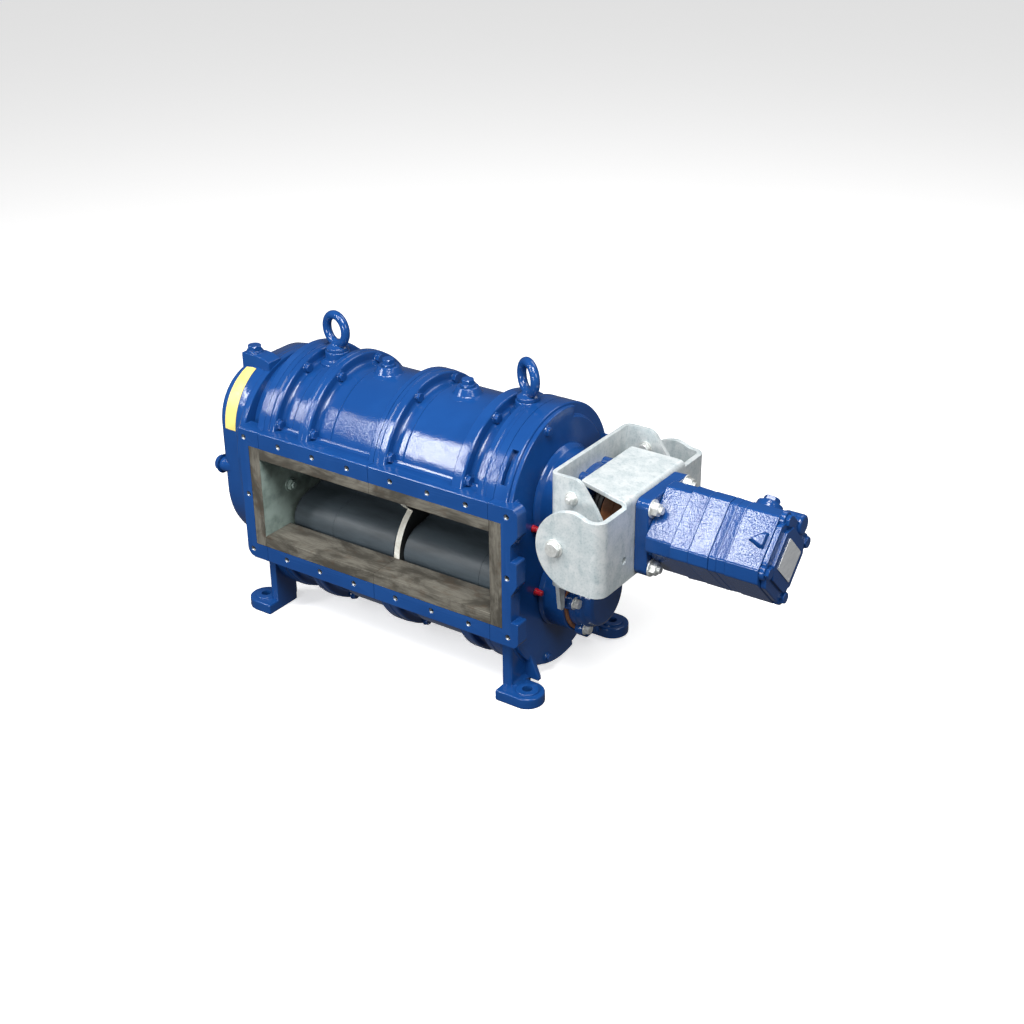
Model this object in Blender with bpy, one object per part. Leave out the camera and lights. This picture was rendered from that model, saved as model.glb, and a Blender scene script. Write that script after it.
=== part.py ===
"""Rotary lobe pump with a hydraulic motor.

Metres, +Z up. X runs along the two shafts towards the motor, the port faces look along -Y and +Y,
and the feet stand on Z = 0. The pump is modelled about the middle of its chamber and then moved
along X by its parent, so that the origin lies under the middle of the whole machine.
"""

import math

import bmesh
import bpy
from mathutils import Matrix, Vector

# Driving dimensions
GAP = 0.0003                # between pieces that touch
PORT_Z = 0.260              # height of the ports' centre line
SHAFT_OFFSET = 0.089        # each shaft above or below the ports' centre line
HALF_DEPTH = 0.178          # port faces lie at y = -0.178 and +0.178
CHAMBER_END = 0.264         # half length of the chamber
CASING_END = 0.263          # half length of the two casings together

BORE_R = 0.108
LINER_R = 0.1300            # outside of the chamber liners
SHELL_R = 0.150             # outside of the barrels
RING_R = 0.168              # outside of the ring flanges
LOW_RING_R = 0.163          # the same on the lower half
PORT_HALF = 0.0815          # half height of the clear port opening
LIP_HALF = 0.1037           # half height over the liner lips
RAIL_HALF = 0.137           # half height over the port flange
WEAR_PLATE = 0.0254
POCKET_END = 0.290          # bottom of the pocket that holds a wear plate

LOBES = 3
LOBE_MEAN = 0.0855
LOBE_HEIGHT = 0.0175
LOBE_REST = math.radians(168)   # lower rotor's front lobe, counted from +Y towards +Z
RUNNING_GAP = 0.005
SHAFT_R = 0.030
SHAFT_HOLE_R = 0.035
SHAFT_START = -0.294        # both shafts end inside the left end plate
UPPER_SHAFT_END = 0.418
LOWER_SHAFT_END = 0.366
SHAFT_SIDES = 24
BEARING_R = SHAFT_R / math.cos(math.pi / SHAFT_SIDES) + GAP     # the shafts turn in these
MIDDLE_PLATE = 0.013

RINGS = {
    "left": ((-0.263, -0.239), (-0.181, -0.157), (-0.012, 0.0)),
    "right": ((0.0, 0.025), (0.172, 0.196), (0.226, 0.263)),
}
DRUM_END = 0.292            # end face of the right end plate's rim
END_PLATE_WALL = 0.300      # outer face of both end plates
RIM_END = 0.280             # the left end plate steps down from the rings here
CHEEK_END = 0.3155          # left end of the port flange
RING_ROOT = 0.006           # how far the ring flanges reach into the barrel and the rail
BOSS_ROOT = 0.008           # the same for the bosses on top of the barrels
EYE_BOSS_R = 0.024
PLUG_BOSS = ((0, 0.030), (0.012, 0.026), (0.022, 0.019))    # height, radius
OVERCUT = 0.01              # cutters reach this far past a solid
HOLE_REACH = 0.4            # and the ones along X or Y this far from the middle
HUB_R = 0.143
RIGHT_CHEEK = (0.305, -0.145)           # end in x and back in y
LUG_START = 0.295
LUG_BACK = -0.162
LUGS = ((0.336, 0.092, 0.137), (0.326, -0.022, 0.022), (0.336, -0.137, -0.092))
LUG_CORNER = 0.014
LEFT_CORNER = 0.02
LEFT_CHEEK_BACK = -0.140
POCKET_REACH = 0.1            # the pocket's cutter starts this far inside the chamber
COVER_SECTIONS = (          # x, half width, top, radius of the upper corners, radius at the foot
    (-0.3158, 0.170, 0.490, 0.168, 0.160),
    (-0.3290, 0.170, 0.490, 0.168, 0.160),
    (-0.3350, 0.160, 0.487, 0.148, 0.154),
    (-0.3470, 0.150, 0.486, 0.123, 0.150),
    (-0.3730, 0.149, 0.477, 0.105, 0.149),
    (-0.3840, 0.147, 0.474, 0.098, 0.147),
    (-0.3900, 0.139, 0.467, 0.090, 0.139),
)
COVER_NECK_R = 0.135
COVER_LOW_Z = 0.240         # centre of the cover's lower half circle
PLATE_SECTIONS = (COVER_SECTIONS[3], COVER_SECTIONS[4])     # the yellow plate lies between these
PLATE_ARC = (113, 177)      # its ends on the upper corners, in degrees
PLATE_STEP = math.radians(5)
PLATE_LIFT = 0.0004         # off the true corner, as its inner side is faceted
PLATE_T = 0.001
COVER_PLUG = (-0.368, -0.058)
COVER_PLUG_Z = 0.499
SIDE_BOLT = (-0.140, 0.285)
SIDE_BOLT_X = -0.3960
SIDE_LUG_R = 0.016
SIDE_LUG_LENGTH = 0.040
COVER_BOSS_R = 0.016
COVER_BOSS_ROOT = 0.459     # inside the cover, under its plug
PLUG_ACROSS = 0.022         # across the flats of the hexagon plugs
PLUG_HEIGHT = 0.014

FOOT_X = {"left": -0.308, "right": 0.321}
FOOT_Y = 0.146
FOOT_HOLE_R = 0.0095
PAD_R = 0.032
PAD_T = 0.022
PAD_INNER_X = 0.271
LEG_T = 0.019
LEG_Y = (-0.152, -0.096)
RIB_T = 0.010
RIB_EDGE = ((0.318, 0.018), (0.297, 0.075), (0.291, 0.110))     # x, z of its slanting edge
PAD_BOSS_R = 0.021
PAD_BOSS_RISE = 0.003
PAD_STEP_X = 0.296          # the pad is narrower than this behind its round end
FOOT_ROOT = 0.004           # how far the wall and the rib reach into the pad
WALL_ROOT = 0.006           # and the wall into the end plate

EYE_X = (-0.209, 0.228)
EYE_TURN = (-12, -31)       # how far each eye is screwed round, in degrees from the X axis
EYE_RING_R = 0.028
EYE_BAR_R = 0.0085
EYE_RISE = 0.0405           # ring centre above its boss
EYE_COLLAR = ((0, 0.021), (0.008, 0.019), (0.014, 0.011))   # height, radius
PLUG_X = (-0.086, 0.096)

HOUSING_END = 0.3547         # end of the upper bearing housing, where the bracket is bolted on
LOWER_HOUSING_END = 0.352
GASKET_T = 0.004
WEB_T = 0.008
INNER_HALF_W = 0.126
INNER_HALF_H = 0.108
OUTER_WEB_X = 0.491
OUTER_T = 0.010
OUTER_HALF_H = 0.0745
OUTER_EAR_END = 0.361       # round end of the outer bracket's ears
PIVOT_X = 0.399
PIVOT_HOLE_R = 0.0085
PIVOT_R = 0.008
PIVOT_HEX_R = 0.0139
SLEEVE_R = 0.014
INNER_WINDOW_R = 0.050      # the bearing housing shows through the inner bracket
PILOT_R = 0.040             # and the motor's pilot sits in the outer one
EAR_OUTLINE = ((0.412, -0.088), (0.440, -0.030), (0.462, 0.030),    # x, z from the upper shaft
               (0.418, 0.094), (0.408, 0.106), (0.400, 0.108))
LID_T = 0.008
LID_OUTLINE = ((0.483, -0.120, 0.0), (0.483, 0.120, 0.0), (0.391, 0.085, 0.010), (0.391, -0.085, 0.010))

UPPER_BEARING_R = 0.085
LOWER_BEARING_R = 0.078
GASKET_R = 0.068
SCALLOP_MEAN = 0.072
SCALLOP_HEIGHT = 0.006
SCALLOPS = 6
BEARING_COVER_END = 0.3807
CAP_PROFILE = ((0, 0.067), (0.010, 0.067), (0.012, 0.064), (0.024, 0.064), (0.028, 0.058),
               (0.038, 0.056), (0.042, 0.050))
CAP_LUG_AT = 0.072
CAP_LUG = (0.014, 0.012)    # radius and length
RED_CAPS = ((-0.098, 0.062, "red_cap_upper"), (-0.091, -0.068, "red_cap_lower"))
RED_CAP = (0.006, 0.016)
HUB_START = 0.390
HUB_END = 0.432
COUPLING_R = 0.052
COUPLING_RING = ((0, 0.048), (0.034, 0.048), (0.038, 0.016), (0.066, 0.016))

MOTOR_X = 0.4913            # back of the motor flange
MOTOR_FLANGE_T = 0.0257
MOTOR_JOINTS = (0.567, 0.637, 0.728)
MOTOR_STEP = 0.668
MOTOR_FACE = 0.7435         # end of the motor, behind its blank plate
MOTOR_T = 0.084             # centre to the narrow faces of the motor body
MOTOR_N = 0.022             # width of the narrow faces
MOTOR_TAIL_T = 0.082
FLANGE_HALF = 0.0725
FLANGE_CORNER = 0.016
MOTOR_BORE_R = 0.022
BASE_END = 0.738            # the motor's end cover behind its seat
SEAT = (0.056, 0.024)       # centre to the faces and width of the narrow ones
LUG_R = 0.0125
LUG_T = 0.007
HEAD_R = 0.0104
HEAD_START = 0.734
HEAD_T = 0.0085
END_OUTLINE = ((0.0225, 0.071), (-0.0225, 0.071), (-0.071, 0.0225), (-0.071, -0.0225),
               (-0.0225, -0.071), (0.009, -0.071), (0.071, -0.009), (0.071, 0.0225))
END_BOLTS = ((0, 0.072), (0, -0.072), (0.074, 0), (-0.065, 0.004))
END_BULGE = (0.056, 0.040)  # round swelling at the upper rear of the motor's end
END_BULGE_R = 0.018
END_BULGE_X = (0.702, 0.742)
MOTOR_PLATE = (0.0285, 0.033)           # half width and half height of the blank plate
PORT_BOSS_R = 0.023
PORT_PLUG_ACROSS = 0.026
PORT_PLUG_HEIGHT = 0.012

LEFT_END = -0.412           # tip of the side bolt
RIGHT_END = 0.7455          # face of the motor's blank plate
PUMP_X = -(LEFT_END + RIGHT_END) / 2

UPPER = PORT_Z + SHAFT_OFFSET
LOWER = PORT_Z - SHAFT_OFFSET
ARC_STEP = math.radians(7.5)
DIAGONAL = Vector((0, 1, 1)).normalized()       # out of the motor's upper rear face
PORT_BOSS = Vector((0.676, 0.045, UPPER + 0.045))
PORT_BOSS_H = 0.022

BLUE = (0.012, 0.085, 0.36)
MATERIALS = {
    "blue_paint": (BLUE, 0.28, 0.0),
    "bare_iron": ((0.22, 0.19, 0.15), 0.55, 0.6),
    "pale_metal": ((0.75, 0.70, 0.58), 0.40, 0.5),
    "rubber": ((0.035, 0.042, 0.048), 0.45, 0.0),
    "steel": ((0.55, 0.55, 0.54), 0.32, 1.0),
    "galvanised": ((0.58, 0.62, 0.62), 0.48, 0.6),
    "black_iron": ((0.02, 0.02, 0.022), 0.5, 0.2),
    "brown_plastic": ((0.42, 0.17, 0.06), 0.5, 0.0),
    "yellow_plate": ((0.85, 0.62, 0.05), 0.45, 0.0),
    "label_white": ((0.75, 0.76, 0.76), 0.4, 0.0),
    "red_cap": ((0.60, 0.015, 0.02), 0.4, 0.0),
}


def clear_scene():
    for item in list(bpy.data.objects):
        bpy.data.objects.remove(item, do_unlink=True)


def material_for(name, finish):
    colour, roughness, metallic = MATERIALS[finish]
    made = bpy.data.materials.new(f"{name}_{finish}")
    made.use_nodes = True
    shader = made.node_tree.nodes["Principled BSDF"]
    shader.inputs["Base Color"].default_value = (*colour, 1.0)
    shader.inputs["Roughness"].default_value = roughness
    shader.inputs["Metallic"].default_value = metallic
    return made


def empty(name, location, parent=None):
    made = bpy.data.objects.new(name, None)
    made.location = location
    made.parent = parent
    bpy.context.scene.collection.objects.link(made)
    return made


def object_from(name, mesh_maker):
    """One object whose mesh is filled by mesh_maker(bm)."""
    mesh = bpy.data.meshes.new(name)
    bm = bmesh.new()
    mesh_maker(bm)
    bmesh.ops.recalc_face_normals(bm, faces=bm.faces)
    bm.to_mesh(mesh)
    bm.free()
    made = bpy.data.objects.new(name, mesh)
    bpy.context.scene.collection.objects.link(made)
    return made


# Outlines in the (y, z) plane
def arc(centre, radius, start, end, step=ARC_STEP):
    """Points of an arc; the angles are degrees from +y towards +z."""
    start, end = math.radians(start), math.radians(end)
    count = max(2, round(abs(end - start) / step))
    angles = [start + (end - start) * i / count for i in range(count + 1)]
    return [(centre[0] + radius * math.cos(a), centre[1] + radius * math.sin(a)) for a in angles]


def box_outline(y0, y1, z0, z1):
    return [(y0, z0), (y1, z0), (y1, z1), (y0, z1)]


def stadium(radius, low_radius=None, low_z=LOWER):
    """Two half circles, the upper one round the upper shaft, joined by straight sides."""
    return arc((0, UPPER), radius, 0, 180) + arc((0, low_z), low_radius or radius, 180, 360)


def mirrored(points):
    """The same outline below the ports' centre line."""
    return [(y, 2 * PORT_Z - z) for y, z in points]


def rise_angle(height, radius):
    """Angle at which a circle round a shaft reaches a height above the ports' centre line."""
    return math.degrees(math.asin((height - SHAFT_OFFSET) / radius))


# Solids
def drawn(name, points, move):
    """A flat outline drawn out by a vector."""
    def fill(bm):
        face = bm.faces.new([bm.verts.new(p) for p in points])
        out = bmesh.ops.extrude_face_region(bm, geom=[face])
        moved = [v for v in out["geom"] if isinstance(v, bmesh.types.BMVert)]
        bmesh.ops.translate(bm, verts=moved, vec=move)
    return object_from(name, fill)


def prism(name, outline, x0, x1):
    """An outline in the (y, z) plane drawn out along X."""
    return drawn(name, [(x0, y, z) for y, z in outline], (x1 - x0, 0, 0))


def loft(name, sections):
    """Skin over outlines with the same number of points; each section is (x, outline)."""
    def fill(bm):
        rings = [[bm.verts.new((x, y, z)) for y, z in outline] for x, outline in sections]
        for low, high in zip(rings, rings[1:]):
            for i in range(len(low)):
                j = (i + 1) % len(low)
                bm.faces.new((low[i], low[j], high[j], high[i]))
        bmesh.ops.triangulate(bm, faces=bm.faces, quad_method="FIXED")
        bm.faces.new(rings[0])
        bm.faces.new(rings[-1])
    return object_from(name, fill)


def turned(name, axis_origin, axis, profile, sides=32):
    """A solid of revolution; the profile is (distance along the axis, radius) pairs."""
    turn = Vector((0, 0, 1)).rotation_difference(Vector(axis)).to_matrix().to_4x4()
    place = Matrix.Translation(axis_origin) @ turn

    def fill(bm):
        rings = []
        for along, radius in profile:
            points = [(radius * math.cos(t), radius * math.sin(t), along)
                      for t in (2 * math.pi * (i + 0.5) / sides for i in range(sides))]
            rings.append([bm.verts.new(place @ Vector(p)) for p in points])
        for low, high in zip(rings, rings[1:]):
            for i in range(sides):
                j = (i + 1) % sides
                bm.faces.new((low[i], low[j], high[j], high[i]))
        bm.faces.new(list(reversed(rings[0])))
        bm.faces.new(rings[-1])
    return object_from(name, fill)


def rod(name, start, axis, radius, length, sides=24):
    return turned(name, start, axis, ((0, radius), (length, radius)), sides)


def box(name, low, high):
    return prism(name, box_outline(low[1], high[1], low[2], high[2]), low[0], high[0])


def slab(name, outline_xz, y0, y1):
    """An outline in the (x, z) plane drawn out along Y."""
    return drawn(name, [(x, y0, z) for x, z in outline_xz], (0, y1 - y0, 0))


def combine(target, tools, operation):
    """Boolean of the target with each tool; the tools are used up."""
    for tool in tools:
        step = target.modifiers.new("shape", "BOOLEAN")
        step.operation = operation
        step.solver = "EXACT"
        step.object = tool
        bpy.context.view_layer.update()
        result = target.evaluated_get(bpy.context.evaluated_depsgraph_get())
        shaped = bpy.data.meshes.new_from_object(result)
        target.modifiers.remove(step)
        old = target.data
        target.data = shaped
        bpy.data.meshes.remove(old)
        bpy.data.objects.remove(tool, do_unlink=True)
    return target


def join(target, *tools):
    return combine(target, tools, "UNION")


def cut(target, *tools):
    return combine(target, tools, "DIFFERENCE")


def tidy(target):
    """Merges doubled points and lines and keeps flat faces whole."""
    bm = bmesh.new()
    bm.from_mesh(target.data)
    bmesh.ops.remove_doubles(bm, verts=bm.verts, dist=0.00001)
    bmesh.ops.dissolve_degenerate(bm, edges=bm.edges, dist=0.00001)
    bmesh.ops.recalc_face_normals(bm, faces=bm.faces)
    bm.to_mesh(target.data)
    bm.free()


def finish(item, name, finish_name, parent):
    """Names a piece, gives it its material and smooth round faces, and hangs it on its parent."""
    tidy(item)
    item.name = name
    item.data.name = name
    item.data.materials.clear()
    item.data.materials.append(material_for(name, finish_name))
    item.data.shade_smooth()
    item.data.set_sharp_from_angle(angle=math.radians(35))
    if parent.parent:
        item.data.transform(Matrix.Translation(-parent.location))
    item.parent = parent
    return item


# Housing
def shell_outline(outer_r):
    """Upper half of the casing: a barrel with a flat rail along each port."""
    top = rise_angle(RAIL_HALF, outer_r)
    inner_r = LINER_R + GAP
    low = rise_angle(LIP_HALF + GAP, inner_r)
    centre = (0, UPPER)
    rail_low, rail_high = PORT_Z + LIP_HALF + GAP, PORT_Z + RAIL_HALF
    return ([(HALF_DEPTH, rail_low), (HALF_DEPTH, rail_high)]
            + arc(centre, outer_r, top, 180 - top)
            + [(-HALF_DEPTH, rail_high), (-HALF_DEPTH, rail_low)]
            + arc(centre, inner_r, 180 - low, low))


def ring_outline(radius):
    """Ring flange: the band that stands up from the rail and runs over the barrel."""
    top = rise_angle(RAIL_HALF, radius)
    inner = SHELL_R - RING_ROOT
    low = rise_angle(RAIL_HALF - RING_ROOT, inner)
    return (arc((0, UPPER), radius, top, 180 - top)
            + arc((0, UPPER), inner, 180 - low, low))


def casing_shell(side, half):
    x0, x1 = (-CASING_END, -GAP / 2) if side == "left" else (GAP / 2, CASING_END)
    flip = mirrored if half == "bottom" else list
    shell = prism("shell", flip(shell_outline(SHELL_R)), x0, x1)
    radius = LOW_RING_R if half == "bottom" else RING_R
    for r0, r1 in RINGS[side]:
        join(shell, prism("ring", flip(ring_outline(radius)), max(r0, x0), min(r1, x1)))
    if half == "top":
        index = 0 if side == "left" else 1
        root = UPPER + SHELL_R - BOSS_ROOT
        boss = rod("boss", (EYE_X[index], 0, root), (0, 0, 1), EYE_BOSS_R, UPPER + RING_R - root)
        plug = turned("plug_boss", (PLUG_X[index], 0, root), (0, 0, 1), PLUG_BOSS, 24)
        join(shell, boss, plug)
    return shell


def wear_outline():
    """Wear plate: both liner circles with flat lips to the two port faces."""
    low = rise_angle(LIP_HALF, LINER_R)
    return ([(HALF_DEPTH, PORT_Z + LIP_HALF)] + arc((0, UPPER), LINER_R, low, 180 - low)
            + [(-HALF_DEPTH, PORT_Z + LIP_HALF), (-HALF_DEPTH, PORT_Z - LIP_HALF)]
            + arc((0, LOWER), LINER_R, 180 + low, 360 - low)
            + [(HALF_DEPTH, PORT_Z - LIP_HALF)])


def grown_wear_outline():
    """The pocket for a wear plate, one gap larger all round and open to the ports."""
    low = rise_angle(LIP_HALF + GAP, LINER_R + GAP)
    y, z = HALF_DEPTH + OVERCUT, LIP_HALF + GAP
    return ([(y, PORT_Z + z)] + arc((0, UPPER), LINER_R + GAP, low, 180 - low)
            + [(-y, PORT_Z + z), (-y, PORT_Z - z)]
            + arc((0, LOWER), LINER_R + GAP, 180 + low, 360 - low)
            + [(y, PORT_Z - z)])


def liner_outline():
    """Upper chamber liner: the bore with a lip to each port."""
    low = rise_angle(LIP_HALF, LINER_R)
    bore = math.degrees(math.asin((PORT_HALF - SHAFT_OFFSET) / BORE_R))
    return ([(HALF_DEPTH, PORT_Z + PORT_HALF), (HALF_DEPTH, PORT_Z + LIP_HALF)]
            + arc((0, UPPER), LINER_R, low, 180 - low)
            + [(-HALF_DEPTH, PORT_Z + LIP_HALF), (-HALF_DEPTH, PORT_Z + PORT_HALF)]
            + arc((0, UPPER), BORE_R, 180 - bore, bore))


def shaft_holes():
    """Cutters for both shaft holes, long enough for every piece of the housing."""
    return [rod("hole", (-HOLE_REACH, 0, z), (1, 0, 0), SHAFT_HOLE_R, 2 * HOLE_REACH)
            for z in (UPPER, LOWER)]


def rounded(x0, x1, z0, z1, radius, corners):
    """A rectangle in (x, z) whose named corners are round: bl, br, tr, tl."""
    points = []
    for name, cx, cz, start in (("bl", x0, z0, 180), ("br", x1, z0, 270),
                                ("tr", x1, z1, 0), ("tl", x0, z1, 90)):
        if name in corners:
            mx = cx + radius * (1 if name[1] == "l" else -1)
            mz = cz + radius * (1 if name[0] == "b" else -1)
            points += arc((mx, mz), radius, start, start + 90, math.radians(18))
        else:
            points.append((cx, cz))
    return points


def foot(side):
    """Front foot of one end plate: a drilled pad, a wall that rises from it and a rear rib."""
    hole_x = abs(FOOT_X[side])
    back = LEG_Y[1]
    outline = ([(PAD_INNER_X, -HALF_DEPTH)]
               + arc((hole_x, -FOOT_Y), PAD_R, -90, 90, math.radians(15))
               + [(PAD_STEP_X, PAD_R - FOOT_Y), (PAD_STEP_X, back), (PAD_INNER_X, back)])
    pad = drawn("pad", [(x, y, 0) for x, y in outline], (0, 0, PAD_T))
    boss = rod("boss", (hole_x, -FOOT_Y, PAD_T / 2), (0, 0, 1), PAD_BOSS_R,
               PAD_T / 2 + PAD_BOSS_RISE)
    inside = PAD_T - FOOT_ROOT
    wall = box("wall", (PAD_INNER_X, LEG_Y[0], inside),
               (PAD_INNER_X + LEG_T, back, PORT_Z - RAIL_HALF + WALL_ROOT))
    rib_x = PAD_INNER_X + LEG_T / 2
    rib = slab("rib", [(rib_x, inside), *RIB_EDGE, (rib_x, RIB_EDGE[-1][1])], back - RIB_T, back)
    solid = join(pad, boss, wall, rib)
    cut(solid, rod("hole", (hole_x, -FOOT_Y, -OVERCUT), (0, 0, 1), FOOT_HOLE_R, 0.06, 20))
    return mirror(solid, (-1, 1, 1)) if side == "left" else solid


def mirror(item, scale):
    """Mirrors a solid in place and keeps its faces outwards."""
    bm = bmesh.new()
    bm.from_mesh(item.data)
    bmesh.ops.scale(bm, vec=scale, verts=bm.verts)
    bmesh.ops.reverse_faces(bm, faces=bm.faces)
    bm.to_mesh(item.data)
    bm.free()
    return item


def both_sides(item):
    """The solid and a mirrored copy of it behind the shafts."""
    copy = item.copy()
    copy.data = item.data.copy()
    bpy.context.scene.collection.objects.link(copy)
    return item, mirror(copy, (1, -1, 1))


def end_plate_left():
    """Stepped plate with the left ends of both port flanges and two feet."""
    x_in = -CASING_END - GAP
    plate = prism("plate", stadium(SHELL_R), -END_PLATE_WALL, x_in)
    rim = prism("rim", stadium(RING_R, LOW_RING_R), -RIM_END, x_in)
    cheek = slab("cheek", rounded(-CHEEK_END, x_in, PORT_Z - RAIL_HALF, PORT_Z + RAIL_HALF,
                                  LEFT_CORNER, ("bl",)), -HALF_DEPTH, LEFT_CHEEK_BACK)
    join(plate, rim, *both_sides(cheek), *both_sides(foot("left")))
    pocket = prism("pocket", grown_wear_outline(), -POCKET_END, POCKET_REACH - POCKET_END)
    return cut(plate, pocket, *shaft_holes())


def end_plate_right():
    """Stepped plate with the lobed right ends of both port flanges and two feet."""
    x_in = CASING_END + GAP
    plate = prism("plate", stadium(RING_R, LOW_RING_R), x_in, DRUM_END)
    hub = prism("hub", stadium(HUB_R), x_in, END_PLATE_WALL)
    end, back = RIGHT_CHEEK
    cheek = slab("cheek", box_outline(x_in, end, PORT_Z - RAIL_HALF, PORT_Z + RAIL_HALF),
                 -HALF_DEPTH, back)
    lugs = [slab("lug", rounded(LUG_START, x1, PORT_Z + z0, PORT_Z + z1, LUG_CORNER, ("br", "tr")),
                 -HALF_DEPTH, LUG_BACK) for x1, z0, z1 in LUGS]
    join(cheek, *lugs)
    join(plate, hub, *both_sides(cheek), *both_sides(foot("right")))
    pocket = prism("pocket", grown_wear_outline(), POCKET_END - POCKET_REACH, POCKET_END)
    return cut(plate, pocket, *shaft_holes())


def cover_outline(half_width, top, corner, foot_r):
    """Round foot, upright sides and two round upper corners."""
    y, z = half_width - corner, top - corner
    return (arc((y, z), corner, 0, 90) + arc((-y, z), corner, 90, 180)
            + arc((0, COVER_LOW_Z), foot_r, 180, 360))


def end_cover():
    """Domed oval cover with a lip, on a narrower neck that stands on the left end plate."""
    cover = loft("cover", [(x, cover_outline(*rest)) for x, *rest in COVER_SECTIONS])
    return join(cover, prism("neck", stadium(COVER_NECK_R, low_z=COVER_LOW_Z),
                             COVER_SECTIONS[0][0] - 0.001, -END_PLATE_WALL - GAP),
                rod("boss", (*COVER_PLUG, COVER_BOSS_ROOT), (0, 0, 1), COVER_BOSS_R,
                    COVER_PLUG_Z - COVER_BOSS_ROOT),
                rod("side_boss", (SIDE_BOLT_X, *SIDE_BOLT), (1, 0, 0), SIDE_LUG_R,
                    SIDE_LUG_LENGTH))


def eye_bolt(x, turn):
    """Lifting eye: a collar on the boss and a ring that stands on it, turned about its screw."""
    across, along = math.cos(math.radians(turn)), math.sin(math.radians(turn))
    seat = UPPER + RING_R + GAP
    collar = turned("collar", (x, 0, seat), (0, 0, 1), EYE_COLLAR, 24)

    def fill(bm):
        ring_sides, bar_sides = 28, 12
        loops = []
        for i in range(ring_sides):
            t = 2 * math.pi * i / ring_sides
            loop = []
            for j in range(bar_sides):
                u = 2 * math.pi * j / bar_sides
                r = EYE_RING_R + EYE_BAR_R * math.cos(u)
                out, aside = r * math.cos(t), EYE_BAR_R * math.sin(u)
                loop.append(bm.verts.new((x + out * across - aside * along,
                                          out * along + aside * across,
                                          seat + EYE_RISE + r * math.sin(t))))
            loops.append(loop)
        for a, b in zip(loops, loops[1:] + loops[:1]):
            for j in range(bar_sides):
                k = (j + 1) % bar_sides
                bm.faces.new((a[j], b[j], b[k], a[k]))
    return join(collar, object_from("ring", fill))


def hex_plug(origin, axis, across, height):
    """Hexagon head with a round collar under it."""
    collar = rod("collar", origin, axis, across * 0.62, height * 0.25, 24)
    point = Vector(origin) + Vector(axis) * height * 0.2
    head = rod("head", point, axis, across / math.sqrt(3), height * 0.8, 6)
    return join(collar, head)


def plate_line(section, lift):
    """The plate's line on one section of the cover, lifted off its upper front corner."""
    half_width, top, corner = section[1:4]
    return arc((corner - half_width, top - corner), corner + lift, *PLATE_ARC, PLATE_STEP)


def yellow_plate():
    """Blank plate bent round the front of the end cover."""
    sections = []
    for section in PLATE_SECTIONS:
        inner = plate_line(section, PLATE_LIFT)
        outer = plate_line(section, PLATE_LIFT + PLATE_T)
        sections.append((section[0], outer + inner[::-1]))
    return loft("plate", sections)


def build_housing(pump):
    for side in ("left", "right"):
        for half in ("top", "bottom"):
            finish(casing_shell(side, half), f"casing_{half}_{side}", "blue_paint", pump)
            flip = mirrored if half == "bottom" else list
            x0, x1 = (-CHAMBER_END, -GAP / 2) if side == "left" else (GAP / 2, CHAMBER_END)
            finish(prism("liner", flip(liner_outline()), x0, x1), f"liner_{half}_{side}",
                   "bare_iron", pump)
        s = -1 if side == "left" else 1
        near, far = s * (CHAMBER_END + GAP), s * (CHAMBER_END + GAP + WEAR_PLATE)
        plate = prism("wear", wear_outline(), min(near, far), max(near, far))
        cut(plate, *shaft_holes())
        finish(plate, f"wear_plate_{side}", "bare_iron", pump)
    middle = prism("middle", middle_outline(), -MIDDLE_PLATE / 2, MIDDLE_PLATE / 2)
    cut(middle, *shaft_holes())
    finish(middle, "middle_plate", "pale_metal", pump)
    finish(end_plate_left(), "end_plate_left", "blue_paint", pump)
    finish(end_plate_right(), "end_plate_right", "blue_paint", pump)
    finish(end_cover(), "end_cover", "blue_paint", pump)
    finish(yellow_plate(), "cover_plate_blank", "yellow_plate", pump)
    finish(hex_plug((*COVER_PLUG, COVER_PLUG_Z + GAP), (0, 0, 1), PLUG_ACROSS, PLUG_HEIGHT), "cover_plug",
           "blue_paint", pump)
    start = SIDE_BOLT_X - GAP
    finish(hex_plug((start, *SIDE_BOLT), (-1, 0, 0), PLUG_ACROSS, start - LEFT_END), "cover_side_bolt",
           "blue_paint", pump)
    for x, turn, side in zip(EYE_X, EYE_TURN, ("left", "right")):
        finish(eye_bolt(x, turn), f"lifting_eye_{side}", "blue_paint", pump)
    for x, side in zip(PLUG_X, ("left", "right")):
        seat = UPPER + SHELL_R - BOSS_ROOT + PLUG_BOSS[-1][0] + GAP
        finish(hex_plug((x, 0, seat), (0, 0, 1), PLUG_ACROSS, PLUG_HEIGHT), f"barrel_plug_{side}",
               "blue_paint", pump)


def middle_outline():
    """Middle plate: the two bore circles, which meet at a waist."""
    radius = BORE_R - GAP
    waist = math.degrees(math.asin(SHAFT_OFFSET / radius))
    return (arc((0, UPPER), radius, -waist, 180 + waist)[:-1]
            + arc((0, LOWER), radius, 180 - waist, 360 + waist)[:-1])


# Rotors and shafts
def lobe_outline(centre_z, phase):
    """Round lobes and hollows from one cosine wave."""
    count = 72
    angles = [2 * math.pi * i / count for i in range(count)]
    radii = [LOBE_MEAN + LOBE_HEIGHT * math.cos(LOBES * (t - phase)) for t in angles]
    return [(r * math.cos(t), centre_z + r * math.sin(t)) for t, r in zip(angles, radii)]


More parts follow.
